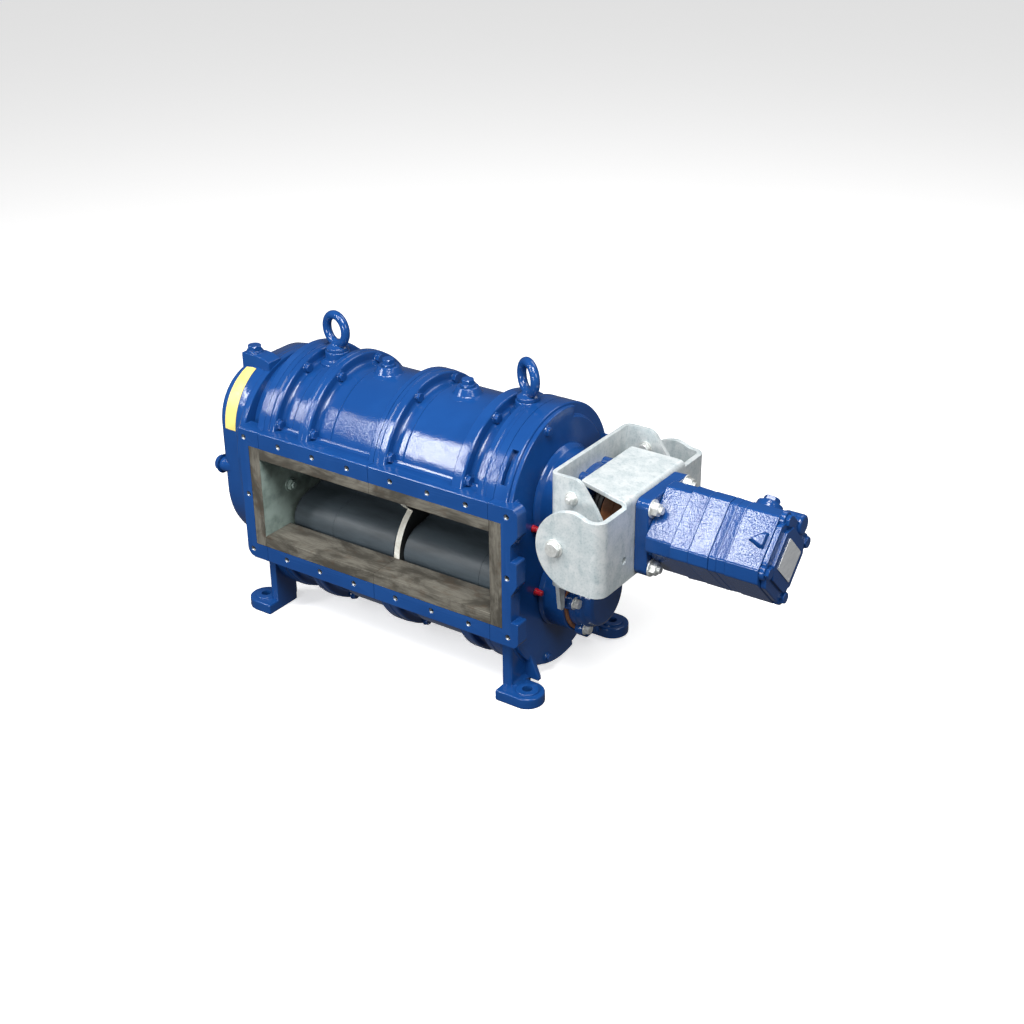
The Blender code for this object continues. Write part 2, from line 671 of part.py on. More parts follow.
def build_rotor(pump, which, centre_z, phase, shaft_end):
    pivot = empty(f"{which}_axis", (0, 0, centre_z), pump)
    inner = MIDDLE_PLATE / 2 + RUNNING_GAP
    outer = CHAMBER_END - RUNNING_GAP
    for side, x0, x1 in (("left", -outer, -inner), ("right", inner, outer)):
        stage = prism("stage", lobe_outline(centre_z, phase), x0, x1)
        cut(stage, rod("bore", (x0 - 0.01, 0, centre_z), (1, 0, 0), SHAFT_R + GAP, 0.3, 24))
        finish(stage, f"rotor_{which}_{side}", "rubber", pivot)
    shaft = rod("shaft", (SHAFT_START, 0, centre_z), (1, 0, 0), SHAFT_R, shaft_end - SHAFT_START,
                SHAFT_SIDES)
    finish(shaft, f"shaft_{which}", "steel", pivot)
    return pivot


# Drive end
def ring_disc(x0, x1, outer, inner, centre_z, sides=32):
    disc = rod("disc", (x0, 0, centre_z), (1, 0, 0), outer, x1 - x0, sides)
    return cut(disc, rod("hole", (x0 - 0.01, 0, centre_z), (1, 0, 0), inner, x1 - x0 + 0.02, 24))


def scalloped_cover():
    """Bearing cover with bolt lobes round its rim."""
    count = 60
    angles = [2 * math.pi * i / count for i in range(count)]
    radii = [SCALLOP_MEAN + SCALLOP_HEIGHT * math.cos(SCALLOPS * t) for t in angles]
    outline = [(r * math.cos(t), UPPER + r * math.sin(t)) for r, t in zip(radii, angles)]
    start = HOUSING_END + GAP + WEB_T + GAP
    cover = prism("cover", outline, start, BEARING_COVER_END)
    return cut(cover, rod("hole", (start - OVERCUT, 0, UPPER), (1, 0, 0), SHAFT_HOLE_R, 0.1, 24))


def inner_bracket():
    """Bent plate: a web on the bearing housing and an ear on each side."""
    x0, x1 = HOUSING_END + GAP, HOUSING_END + GAP + WEB_T
    top, low = UPPER + INNER_HALF_H, UPPER - INNER_HALF_H
    web = box("web", (x0, -INNER_HALF_W, low), (x1, INNER_HALF_W, top))
    edge = [(x, UPPER + z) for x, z in EAR_OUTLINE]
    ear = slab("ear", [(x0, low), *edge, (x0, top)], -INNER_HALF_W, -INNER_HALF_W + WEB_T)
    join(web, *both_sides(ear))
    return cut(web, rod("window", (x0 - OVERCUT, 0, UPPER), (1, 0, 0), INNER_WINDOW_R, 0.03, 32),
               pivot_hole())


def pivot_hole():
    """Cutter for the pivot bolts' holes in a bracket's ears."""
    return rod("pivot", (PIVOT_X, -HOLE_REACH, UPPER), (0, 1, 0), PIVOT_HOLE_R, 2 * HOLE_REACH, 16)


def outer_bracket():
    """Bent plate that carries the motor: a web, two round ears and a folded lid."""
    x0, x1 = OUTER_WEB_X - OUTER_T, OUTER_WEB_X
    low, high = UPPER - OUTER_HALF_H, UPPER + OUTER_HALF_H
    web = box("web", (x0, -HALF_DEPTH, low), (x1, HALF_DEPTH, high))
    round_end = arc((OUTER_EAR_END + OUTER_HALF_H, UPPER), OUTER_HALF_H, 90, 270)
    ear = slab("ear", [(x1, low), (x1, high)] + round_end, -HALF_DEPTH, -HALF_DEPTH + OUTER_T)

    def fill(bm):
        top = [bm.verts.new((x, y, high + rise)) for x, y, rise in LID_OUTLINE]
        under = [bm.verts.new((v.co.x, v.co.y, v.co.z - LID_T)) for v in top]
        bm.faces.new(top)
        bm.faces.new(list(reversed(under)))
        for i in range(4):
            j = (i + 1) % 4
            bm.faces.new((top[i], top[j], under[j], under[i]))
    join(web, *both_sides(ear), object_from("lid", fill))
    return cut(web, rod("pilot", (x0 - OVERCUT, 0, UPPER), (1, 0, 0), PILOT_R, 0.03, 32),
               pivot_hole())


def pivot_bolt():
    """Pivot: a sleeve between the two ears, a bolt through both and its head outside."""
    y_out, y_in = -HALF_DEPTH - GAP, -INNER_HALF_W + WEB_T + GAP
    end, nut_t = 0.011, 0.010
    shank = rod("shank", (PIVOT_X, y_out - nut_t, UPPER), (0, 1, 0), PIVOT_R,
                y_in - y_out + 2 * nut_t, 16)
    head = rod("head", (PIVOT_X, y_out - end, UPPER), (0, 1, 0), PIVOT_HEX_R, end, 6)
    sleeve = rod("sleeve", (PIVOT_X, -HALF_DEPTH + OUTER_T + GAP, UPPER), (0, 1, 0), SLEEVE_R,
                 HALF_DEPTH - INNER_HALF_W - OUTER_T - 2 * GAP, 20)
    nut = rod("nut", (PIVOT_X, y_in, UPPER), (0, 1, 0), PIVOT_HEX_R, nut_t, 6)
    return join(shank, head, sleeve, nut)


def octagon(t, n):
    """A square standing on its corner, with the corners cut to narrow faces."""
    h = n / 2
    points = [(h, t), (-h, t), (-t, h), (-t, -h), (-h, -t), (h, -t), (t, -h), (t, h)]
    return [(y, UPPER + z) for y, z in points]


def motor_flange():
    """Square flange with round corners and a blind bore for the motor's shaft."""
    inset = FLANGE_HALF - FLANGE_CORNER
    outline = []
    for sy, sz, start in ((1, 1, 0), (-1, 1, 90), (-1, -1, 180), (1, -1, 270)):
        outline += arc((sy * inset, UPPER + sz * inset), FLANGE_CORNER, start, start + 90,
                       math.radians(30))
    return cut(prism("flange", outline, MOTOR_X, MOTOR_X + MOTOR_FLANGE_T),
               rod("bore", (MOTOR_X - OVERCUT, 0, UPPER), (1, 0, 0), MOTOR_BORE_R, 0.026, 24))


def motor_body():
    start = MOTOR_X + MOTOR_FLANGE_T + GAP
    body = prism("body", octagon(MOTOR_T - 0.003, MOTOR_N + 0.004), start, MOTOR_JOINTS[0] + 0.001)
    return join(body, prism("gear", octagon(MOTOR_T, MOTOR_N), MOTOR_JOINTS[0], MOTOR_JOINTS[1]))


def motor_valve_block():
    """Second half of the motor, with a port boss and a round swelling at the upper rear."""
    start = MOTOR_JOINTS[1] + GAP
    y, z = END_BULGE
    block = prism("block", octagon(MOTOR_T - 0.002, MOTOR_N + 0.003), start, MOTOR_STEP)
    tail = prism("tail", octagon(MOTOR_TAIL_T, MOTOR_N + 0.004), MOTOR_STEP - 0.001,
                 MOTOR_JOINTS[2])
    boss = rod("port", PORT_BOSS, DIAGONAL, PORT_BOSS_R, PORT_BOSS_H)
    bulge = rod("bulge", (END_BULGE_X[0], y, UPPER + z), (1, 0, 0), END_BULGE_R,
                MOTOR_JOINTS[2] - END_BULGE_X[0])
    return join(block, tail, boss, bulge)


def motor_end_cover():
    """End cover with four bolts in corner lugs and a raised square seat for the plate."""
    start = MOTOR_JOINTS[2] + GAP
    y, z = END_BULGE
    base = prism("base", [(a, UPPER + b) for a, b in END_OUTLINE], start, BASE_END)
    seat = prism("seat", octagon(*SEAT), BASE_END - 0.001, MOTOR_FACE)
    bulge = rod("bulge", (start, y, UPPER + z), (1, 0, 0), END_BULGE_R, END_BULGE_X[1] - start)
    bolts = []
    for y, z in END_BOLTS:
        bolts.append(rod("lug", (start, y, UPPER + z), (1, 0, 0), LUG_R, LUG_T, 20))
        bolts.append(rod("head", (HEAD_START, y, UPPER + z), (1, 0, 0), HEAD_R, HEAD_T, 6))
    return join(base, seat, bulge, *bolts)


def nameplate():
    """Blank plate on the motor's end, standing on its corner."""
    half_w, half_h = MOTOR_PLATE
    turn = Matrix.Rotation(math.radians(45), 2)
    corners = [turn @ Vector(p) for p in ((-half_w, -half_h), (half_w, -half_h),
                                          (half_w, half_h), (-half_w, half_h))]
    return prism("plate", [(p.x, UPPER + p.y) for p in corners], MOTOR_FACE + GAP, RIGHT_END)


def lower_cap():
    """Stepped cap over the lower shaft's end with four bolt lugs."""
    start = LOWER_HOUSING_END + GASKET_T + GAP
    cap = turned("cap", (start, 0, LOWER), (1, 0, 0), CAP_PROFILE, 40)
    radius, length = CAP_LUG
    for turn in (45, 135, 225, 315):
        y, z = (CAP_LUG_AT * f(math.radians(turn)) for f in (math.cos, math.sin))
        join(cap, rod("lug", (start, y, LOWER + z), (1, 0, 0), radius, length, 16))
    return cut(cap, rod("bore", (start - OVERCUT, 0, LOWER), (1, 0, 0), SHAFT_HOLE_R,
                        CAP_PROFILE[4][0] - 0.003 + OVERCUT, 24))


def coupling_hub():
    """Hub on the end of the upper shaft, closed in front of the shaft's end."""
    hub = rod("hub", (HUB_START, 0, UPPER), (1, 0, 0), COUPLING_R, HUB_END - HUB_START, 32)
    return cut(hub, rod("bore", (HUB_START - OVERCUT, 0, UPPER), (1, 0, 0), SHAFT_R + GAP,
                        UPPER_SHAFT_END + 0.002 - HUB_START + OVERCUT, 24))


def build_drive(pump, upper_axis):
    wall = END_PLATE_WALL + GAP
    finish(ring_disc(wall, HOUSING_END, UPPER_BEARING_R, BEARING_R, UPPER),
           "bearing_housing_upper", "blue_paint", pump)
    finish(ring_disc(wall, LOWER_HOUSING_END, LOWER_BEARING_R, BEARING_R, LOWER, 40),
           "bearing_housing_lower", "blue_paint", pump)
    finish(ring_disc(LOWER_HOUSING_END + GAP, LOWER_HOUSING_END + GASKET_T, GASKET_R,
                     SHAFT_HOLE_R, LOWER, 40), "lower_gasket", "brown_plastic", pump)
    finish(lower_cap(), "lower_cap", "blue_paint", pump)
    finish(inner_bracket(), "inner_bracket", "galvanised", pump)
    finish(outer_bracket(), "outer_bracket", "galvanised", pump)
    front, back = both_sides(pivot_bolt())
    finish(front, "pivot_bolt_front", "steel", pump)
    finish(back, "pivot_bolt_back", "steel", pump)
    finish(scalloped_cover(), "bearing_cover", "blue_paint", pump)
    for y, z, name in RED_CAPS:
        finish(rod("cap", (wall, y, PORT_Z + z), (1, 0, 0), *RED_CAP, 16), name, "red_cap", pump)
    finish(coupling_hub(), "coupling_hub", "black_iron", upper_axis)
    finish(turned("ring", (HUB_END + GAP, 0, UPPER), (1, 0, 0), COUPLING_RING, 32),
           "coupling_ring", "brown_plastic", upper_axis)
    finish(motor_flange(), "motor_flange", "blue_paint", pump)
    finish(motor_body(), "motor_body", "blue_paint", pump)
    finish(motor_valve_block(), "motor_valve_block", "blue_paint", pump)
    finish(motor_end_cover(), "motor_end_cover", "blue_paint", pump)
    finish(nameplate(), "motor_plate_blank", "label_white", pump)
    finish(hex_plug(PORT_BOSS + DIAGONAL * (PORT_BOSS_H + GAP), DIAGONAL, PORT_PLUG_ACROSS,
                    PORT_PLUG_HEIGHT), "motor_port_plug", "blue_paint", pump)


def build():
    clear_scene()
    pump = empty("pump", (PUMP_X, 0, 0))
    build_housing(pump)
    turn = math.pi / LOBES
    lower_phase = LOBE_REST
    upper_phase = math.pi + turn - (lower_phase - math.pi)
    build_rotor(pump, "lower", LOWER, lower_phase, LOWER_SHAFT_END)
    upper_axis = build_rotor(pump, "upper", UPPER, upper_phase, UPPER_SHAFT_END)
    build_drive(pump, upper_axis)


build()
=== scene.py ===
# %% [markdown]
# # A rotary lobe pump and its hydraulic motor
# Two rubber rotors turn against each other in a cast housing and push liquid from one port to the other.
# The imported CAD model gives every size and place. This lesson dresses it: castings with soft edges and thick
# paint, galvanised brackets, stained steel round the port, rubber, zinc fasteners and a studio to see them in.

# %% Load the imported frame
import math

import bmesh
import bpy
from mathutils import Matrix, Quaternion, Vector


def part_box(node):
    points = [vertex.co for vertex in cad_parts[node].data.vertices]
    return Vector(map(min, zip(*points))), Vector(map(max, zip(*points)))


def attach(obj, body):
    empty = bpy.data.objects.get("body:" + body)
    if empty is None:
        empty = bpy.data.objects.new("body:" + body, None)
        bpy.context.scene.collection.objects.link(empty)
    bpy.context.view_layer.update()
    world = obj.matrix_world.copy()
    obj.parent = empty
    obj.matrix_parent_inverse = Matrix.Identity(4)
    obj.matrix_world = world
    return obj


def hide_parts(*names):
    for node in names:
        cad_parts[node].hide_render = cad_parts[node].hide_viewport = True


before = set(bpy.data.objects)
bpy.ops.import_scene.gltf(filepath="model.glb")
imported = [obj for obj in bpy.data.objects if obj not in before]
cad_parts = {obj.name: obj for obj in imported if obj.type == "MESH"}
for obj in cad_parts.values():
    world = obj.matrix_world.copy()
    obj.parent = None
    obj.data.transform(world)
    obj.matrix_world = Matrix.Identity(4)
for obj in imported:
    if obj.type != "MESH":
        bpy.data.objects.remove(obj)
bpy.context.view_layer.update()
low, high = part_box("middle_plate")
CHAMBER_X = (low.x + high.x) / 2        # the pieces are modelled about the middle of the chamber
PORT_Z = (low.z + high.z) / 2
SHAFT_RISE = 0.089
UPPER, LOWER = PORT_Z + SHAFT_RISE, PORT_Z - SHAFT_RISE

# %% [markdown]
# ## Hands
# Everything is modelled with the operators that the menus call. They act on what is selected, so each helper
# clears the selection first. A line is drawn from one point by extruding it from place to place, as one does
# with the E key; filled and extruded it is a plate, and spun round an axis it is a turned part.

# %% Select, draw and extrude
PLANES = {"yz": lambda a, b, c: (c, a, b), "xz": lambda a, b, c: (a, c, b), "xy": lambda a, b, c: (a, b, c)}


def only(*pieces):
    """These pieces selected, the first one active, in object mode."""
    if bpy.context.object is not None and bpy.context.object.mode == "EDIT":
        bpy.ops.object.mode_set(mode="OBJECT")
    bpy.ops.object.select_all(action="DESELECT")
    for piece in pieces:
        piece.select_set(True)
    if pieces:
        bpy.context.view_layer.objects.active = pieces[0]


def draw(name, points, fill="face"):
    """A line from point to point: left open, closed to a loop, or closed and filled with a face."""
    only()
    bpy.ops.mesh.primitive_plane_add(size=0.001)
    piece = bpy.context.active_object
    piece.name = name
    bpy.ops.object.mode_set(mode="EDIT")
    bpy.ops.mesh.select_mode(type="VERT")
    bpy.ops.mesh.merge(type="CENTER")
    bpy.ops.transform.translate(value=points[0])
    for here, there in zip(points, points[1:]):
        bpy.ops.mesh.extrude_region_move(TRANSFORM_OT_translate={"value": Vector(there) - Vector(here)})
    if fill != "open":
        pick(piece, lambda vert: len(vert.link_edges) == 1)
        bpy.ops.mesh.edge_face_add()
    bpy.ops.mesh.select_all(action="SELECT")
    if fill == "face":
        bpy.ops.mesh.edge_face_add()
    return piece


def pick(piece, test):
    """Selects the vertices that pass the test, in edit mode."""
    mesh = bmesh.from_edit_mesh(piece.data)
    for vert in mesh.verts:
        vert.select = test(vert)
    mesh.select_flush_mode()
    bmesh.update_edit_mesh(piece.data)


def outwards(piece):
    """Doubles merged and every face turned outwards; ends in object mode."""
    bpy.ops.mesh.select_all(action="SELECT")
    bpy.ops.mesh.remove_doubles(threshold=0.000005)
    bpy.ops.mesh.normals_make_consistent(inside=False)
    bpy.ops.object.mode_set(mode="OBJECT")
    return piece


def prism(name, outline, plane, start, end):
    """An outline in the yz, xz or xy plane, drawn out along the third axis."""
    place = PLANES[plane]
    piece = draw(name, [place(a, b, start) for a, b in outline])
    bpy.ops.mesh.extrude_region_move(TRANSFORM_OT_translate={"value": place(0, 0, end - start)})
    return outwards(piece)


def turned(name, profile, origin, axis=(1, 0, 0), side=None, angle=360, steps=64, fill=None):
    """A profile of (distance along the axis, radius) pairs, spun about the axis."""
    axis = Vector(axis).normalized()
    side = Vector(side) if side else axis.orthogonal().normalized()
    origin = Vector(origin)
    points = [origin + axis * along + side * radius for along, radius in profile]
    piece = draw(name, points, fill or ("open" if angle == 360 else "face"))
    bpy.ops.mesh.spin(steps=steps, angle=-math.radians(angle), center=origin, axis=axis)
    return outwards(piece)


# %% [markdown]
# Corners of cast and pressed parts are never sharp. One helper turns a list of corners, each with its own
# radius, into a line with round corners, so a whole profile is a single short list.

# %% Round corners and arcs
def arc(centre, radius, start, end, count=24):
    """Points of an arc; degrees run from the first axis towards the second."""
    angles = [math.radians(start + (end - start) * i / count) for i in range(count + 1)]
    return [(centre[0] + radius * math.cos(a), centre[1] + radius * math.sin(a)) for a in angles]


def soft(corners, steps=5, closed=True):
    """Corners (a, b, radius), each turned into a small arc."""
    points = []
    count = len(corners)
    for i, (a, b, radius) in enumerate(corners):
        here = Vector((a, b))
        ends = not closed and i in (0, count - 1)
        before, after = Vector(corners[i - 1][:2]), Vector(corners[(i + 1) % count][:2])
        if radius == 0 or ends:
            points.append((a, b))
            continue
        u, v = (before - here), (after - here)
        half = u.angle(v) / 2
        reach = min(radius / math.tan(half), 0.49 * u.length, 0.49 * v.length)
        radius = reach * math.tan(half)
        u.normalize()
        v.normalize()
        centre = here + (u + v).normalized() * (radius / math.sin(half))
        first, last = here + u * reach - centre, here + v * reach - centre
        turn = first.angle_signed(last)
        for k in range(steps + 1):
            points.append(tuple(centre + Matrix.Rotation(-turn * k / steps, 2) @ first))
    return points


# %% [markdown]
# Castings are joined, drilled and milled. Booleans do that, with the exact solver, and each one is applied
# at once so that the next operator sees a plain mesh. A bevel then rounds the edges that are left sharp.

# %% Join, cut, round and settle
def apply(piece, kind, **settings):
    """Adds one modifier, sets it and applies it."""
    only(piece)
    step = piece.modifiers.new(kind.lower(), kind)
    for key, value in settings.items():
        setattr(step, key, value)
    bpy.ops.object.modifier_apply(modifier=step.name)
    return piece


def combine(operation, piece, *tools):
    for tool in tools:
        apply(piece, "BOOLEAN", operation=operation, solver="EXACT", object=tool)
        bpy.data.objects.remove(tool)
    return piece


def union(piece, *tools):
    return combine("UNION", piece, *tools)


def cut(piece, *tools):
    return combine("DIFFERENCE", piece, *tools)


def meet(piece, *tools):
    return combine("INTERSECT", piece, *tools)


def clean(piece, flat=0.5):
    """Merges doubles and dissolves the extra lines that a Boolean leaves on flat faces."""
    only(piece)
    bpy.ops.object.mode_set(mode="EDIT")
    bpy.ops.mesh.select_all(action="SELECT")
    bpy.ops.mesh.remove_doubles(threshold=0.00002)
    bpy.ops.mesh.dissolve_limited(angle_limit=math.radians(flat))
    bpy.ops.mesh.dissolve_degenerate(threshold=0.00001)
    bpy.ops.mesh.fill_holes(sides=8)
    bpy.ops.mesh.select_all(action="SELECT")
    bpy.ops.mesh.delete_loose()
    bpy.ops.object.mode_set(mode="OBJECT")
    return piece


def trim(piece, x, keep):
    """Saws the piece off flat at x and closes the cut; keep is the side that stays, -1 or 1."""
    only(piece)
    bpy.ops.object.mode_set(mode="EDIT")
    bpy.ops.mesh.select_all(action="SELECT")
    bpy.ops.mesh.bisect(plane_co=(x, 0, 0), plane_no=(1, 0, 0), use_fill=True, clear_inner=keep > 0,
                        clear_outer=keep < 0)
    bpy.ops.object.mode_set(mode="OBJECT")
    return piece


def round_edges(piece, width, segments=3, angle=34):
    clean(piece)
    return apply(piece, "BEVEL", width=width, segments=segments, limit_method="ANGLE",
                 angle_limit=math.radians(angle), loop_slide=False)


def join(name, *pieces):
    """Several pieces made one object."""
    only(*pieces)
    bpy.ops.object.join()
    pieces[0].name = name
    return pieces[0]


def copied(piece, name, at=(0, 0, 0), axis=(0, 0, 1), turn=0.0):
    """A copy with its own mesh, its +Z turned to the axis and its origin moved to a place."""
    only(piece)
    bpy.ops.object.duplicate()
    twin = bpy.context.active_object
    twin.name = name
    aim = Vector((0, 0, 1)).rotation_difference(Vector(axis)).to_matrix().to_4x4()
    twin.matrix_world = Matrix.Translation(at) @ aim @ Matrix.Rotation(math.radians(turn), 4, "Z")
    bpy.ops.object.transform_apply(location=True, rotation=True, scale=True)
    return twin


def flipped(piece, name, axis):
    """A mirrored copy: behind the shafts for y, below the ports' centre line for z, other side for x."""
    only(piece)
    bpy.ops.object.duplicate()
    twin = bpy.context.active_object
    twin.name = name
    twin.scale = [-1 if key == axis else 1 for key in "xyz"]
    if axis == "z":
        twin.location.z = 2 * PORT_Z
    bpy.ops.object.transform_apply(location=True, rotation=True, scale=True)
    bpy.ops.object.mode_set(mode="EDIT")
    return outwards(twin)


def settle(piece, finish, replaces=(), body="base", angle=36):
    """Moves a finished piece to its place in the shared frame, paints it and lets it ride."""
    only(piece)
    piece.location.x += CHAMBER_X
    bpy.ops.object.transform_apply(location=True, rotation=True, scale=True)
    bpy.ops.object.shade_smooth_by_angle(angle=math.radians(angle))
    apply(piece, "WEIGHTED_NORMAL", keep_sharp=True)
    piece.data.name = piece.name
    piece.data.materials.clear()
    piece.data.materials.append(finish)
    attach(piece, body)
    if replaces:
        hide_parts(*replaces)
    print(piece.name, "rides on", body, "with", len(piece.data.polygons), "faces")
    return piece


# %% [markdown]
# ## Finishes
# Each finish is a small network of nodes. The class below lets the sums be written as plain Python: adding
# two wires adds a Math node. Patterns read Object coordinates, in metres, so a noise scale of 500 means
# features of about two millimetres, the size of the orange peel in thick paint.

# %% A wire that can be added and multiplied
class Wire:
    """One output of a shader node."""

    def __init__(self, tree, socket):
        self.tree = tree
        self.socket = socket

    def math(self, operation, *others, swap=False):
        node = self.tree.nodes.new("ShaderNodeMath")
        node.operation = operation
        values = [self, *others]
        if swap:
            values.reverse()
        for slot, value in zip(node.inputs, values):
            plug(self.tree, slot, value)
        return Wire(self.tree, node.outputs[0])

    def __add__(self, other):
        return self.math("ADD", other)

    def __sub__(self, other):
        return self.math("SUBTRACT", other)

    def __rsub__(self, other):
        return self.math("SUBTRACT", other, swap=True)

    def __mul__(self, other):
        return self.math("MULTIPLY", other)

    __radd__ = __add__
    __rmul__ = __mul__

    def between(self, low, high):
        """0 below low, 1 above high, smooth between."""
        node = self.tree.nodes.new("ShaderNodeMapRange")
        node.interpolation_type = "SMOOTHSTEP"
        for key, value in (("Value", self), ("From Min", low), ("From Max", high)):
            plug(self.tree, node.inputs[key], value)
        return Wire(self.tree, node.outputs["Result"])


def plug(tree, slot, value):
    """Links a wire to a socket, or sets the socket to a number or colour."""
    if isinstance(value, Wire):
        tree.links.new(value.socket, slot)
    elif isinstance(value, tuple) and len(value) == 3 and slot.type == "RGBA":
        slot.default_value = (*value, 1.0)
    else:
        slot.default_value = value


class Finish:
    """A material being made, with one method for every kind of node."""

    def __init__(self, name, **constants):
        self.made = bpy.data.materials.new(name)
        self.made.use_nodes = True
        self.tree = self.made.node_tree
        self.shader = self.tree.nodes["Principled BSDF"]
        for key, value in constants.items():
            self.set(key.replace("_", " "), value)
        self.place = self.node("ShaderNodeTexCoord", output="Object")

    def node(self, kind, settings=None, output=0, **values):
        """Any node: its settings first, then the values or links of its sockets."""
        node = self.tree.nodes.new(kind)
        for key, value in (settings or {}).items():
            setattr(node, key, value)
        for key, value in values.items():
            plug(self.tree, node.inputs[key.replace("_", " ")], value)
        return Wire(self.tree, node.outputs[output])

    def set(self, key, value):
        plug(self.tree, self.shader.inputs[key], value)

    def noise(self, scale, detail=2.0, rough=0.5, stretch=None, distortion=0.0):
        place = self.place
        if stretch:
            place = self.node("ShaderNodeMapping", Vector=self.place, Scale=stretch)
        return self.node("ShaderNodeTexNoise", Vector=place, Scale=scale, Detail=detail, Roughness=rough,
                         Distortion=distortion, output="Fac")

    def cells(self, scale, feature="F1", output="Distance"):
        return self.node("ShaderNodeTexVoronoi", {"feature": feature}, Vector=self.place, Scale=scale,
                         output=output)

    def mix(self, share, first, second):
        """Two colours mixed by a wire."""
        node = self.tree.nodes.new("ShaderNodeMix")
        node.data_type = "RGBA"
        for key, value in ((0, share), (6, first), (7, second)):
            plug(self.tree, node.inputs[key], value)
        return Wire(self.tree, node.outputs[2])

    def edges(self, low=0.5, high=0.6):
        """1 on convex edges, 0 on flats and in hollows."""
        return self.node("ShaderNodeNewGeometry", output="Pointiness").between(low, high)

    def bump(self, height, strength, distance):
        self.set("Normal", self.node("ShaderNodeBump", Height=height, Strength=strength, Distance=distance))


# %% [markdown]
# ### Blue enamel on cast iron
# The paint is thick and glossy, laid straight on the sand-cast skin. Seen close, its reflections break up like
# orange peel, and a slower wave from the mould lies under that. It thins on edges, where it is a little lighter.
# Hollows are painted darker: painted shade, partly paint lying thicker there. One smooth glossy layer carries the sharp
# white reflections of the lamps.

# %% Make the paint
def paint(name, peel=1.0, swell=1.0):
    work = Finish(name, Roughness=0.1, IOR=1.52)
    cloud = work.noise(9, 3)
    colour = work.mix(cloud.between(0.35, 0.7), (0.0064, 0.049, 0.195), (0.0082, 0.058, 0.222))
    # Hollows are darkened: painted shade in the recesses, partly thicker paint.
    pooled_paint_and_shade = 1 - work.node("ShaderNodeNewGeometry", output="Pointiness").between(0.40, 0.495)
    colour = work.mix(pooled_paint_and_shade * 0.45, colour, (0.005, 0.020, 0.100))
    colour = work.mix(work.edges(0.54, 0.66) * 0.14, colour, (0.028, 0.10, 0.32))
    work.set("Base Color", colour)
    work.set("Roughness", work.noise(60, 2) * 0.10 + 0.05)
    height = work.noise(480, 2) * (0.3 * peel) + work.noise(240, 2) * (0.8 * peel) + work.noise(38, 1) * (1.8 * swell)
    work.bump(height, 0.5, 0.0004)
    return work.made


cast_paint = paint("blue_cast_paint")
smooth_paint = paint("blue_smooth_paint", peel=1.5, swell=0.2)
print("paints:", cast_paint.name, smooth_paint.name)

# %% [markdown]
# ### Steel round the port, and the chamber
# The liner's bare lips are stained brown and grey by wet fingers and rust bloom, in patches of centimetres
# with finer specks, and grinding marks run along them. The left wall is paler and greener.

# %% Make the bare metals
def stained_steel(name, pale, dark, rust, grain=(1, 1, 1), rusty=0.35):
    work = Finish(name, Metallic=0.1, Roughness=0.5, Specular_IOR_Level=0.3)
    patches = work.noise(26, 5, 0.66, stretch=tuple(0.35 + 0.65 * g for g in grain), distortion=0.5)
    colour = work.mix(patches.between(0.40, 0.62), pale, dark)
    spots = work.noise(44, 4, 0.65, stretch=(0.7, 1, 1.2)).between(0.53, 0.66)
    colour = work.mix(spots * rusty, colour, rust)
    marks = work.noise(420, 4, 0.7, stretch=grain)
    colour = work.mix(marks.between(0.42, 0.66) * 0.55, colour, dark)
    work.set("Base Color", colour)
    work.set("Roughness", patches * 0.16 + marks * 0.18 + 0.34)
    work.bump(marks + work.noise(900, 2) * 0.4, 0.3, 0.0004)
    return work


def two_faced(work, axis, near, far, other):
    """Another colour where the distance from the middle plane along one axis passes near to far."""
    share = work.node("ShaderNodeSeparateXYZ", Vector=work.place, output="XYZ".index(axis))
    work.set("Base Color", work.mix(share.math("ABSOLUTE").between(near, far), other,
                                    Wire(work.tree, work.shader.inputs["Base Color"].links[0].from_socket)))
    return work.made


BROWN_GREY = ((0.175, 0.165, 0.138), (0.060, 0.055, 0.045), (0.082, 0.050, 0.030))
lip_steel = stained_steel("stained_lip_steel", *BROWN_GREY, grain=(0.06, 1, 1)).made
right_steel = stained_steel("stained_wear_steel", *BROWN_GREY, grain=(1, 1, 0.06)).made
wall_work = stained_steel("pale_wall_steel", *BROWN_GREY, grain=(1, 1, 0.08))
wall_green = wall_work.mix(wall_work.noise(30, 4, 0.6).between(0.35, 0.7), (0.33, 0.42, 0.385), (0.19, 0.25, 0.225))
wall_steel = two_faced(wall_work, "Y", 0.1765, 0.1778, wall_green)
middle_work = stained_steel("bright_plate_steel", (0.86, 0.86, 0.80), (0.62, 0.61, 0.54), (0.42, 0.37, 0.30), rusty=0.2)
# The faces that look along the shafts are painted dark, a painted shade; only the plate's edge stays bright.
face = middle_work.node("ShaderNodeSeparateXYZ", output=0,
                        Vector=middle_work.node("ShaderNodeNewGeometry", output="Normal")).math("ABSOLUTE")
middle_work.set("Base Color", middle_work.mix(face.between(0.6, 0.95),
                Wire(middle_work.tree, middle_work.shader.inputs["Base Color"].links[0].from_socket),
                (0.055, 0.06, 0.062)))
middle_steel = middle_work.made


def zinc(name, colour=(0.80, 0.82, 0.80), metal=0.55):
    work = Finish(name, Metallic=metal, Roughness=0.3)
    cloud = work.noise(160, 3)
    work.set("Base Color", work.mix(cloud.between(0.3, 0.75), colour, tuple(0.72 * c for c in colour)))
    work.set("Roughness", cloud * 0.25 + 0.26)
    work.bump(work.noise(900, 2), 0.2, 0.0002)
    return work.made


zinc_steel = zinc("zinc_plated_steel")
thread_steel = zinc("bare_thread_steel", (0.36, 0.38, 0.39), 0.8)


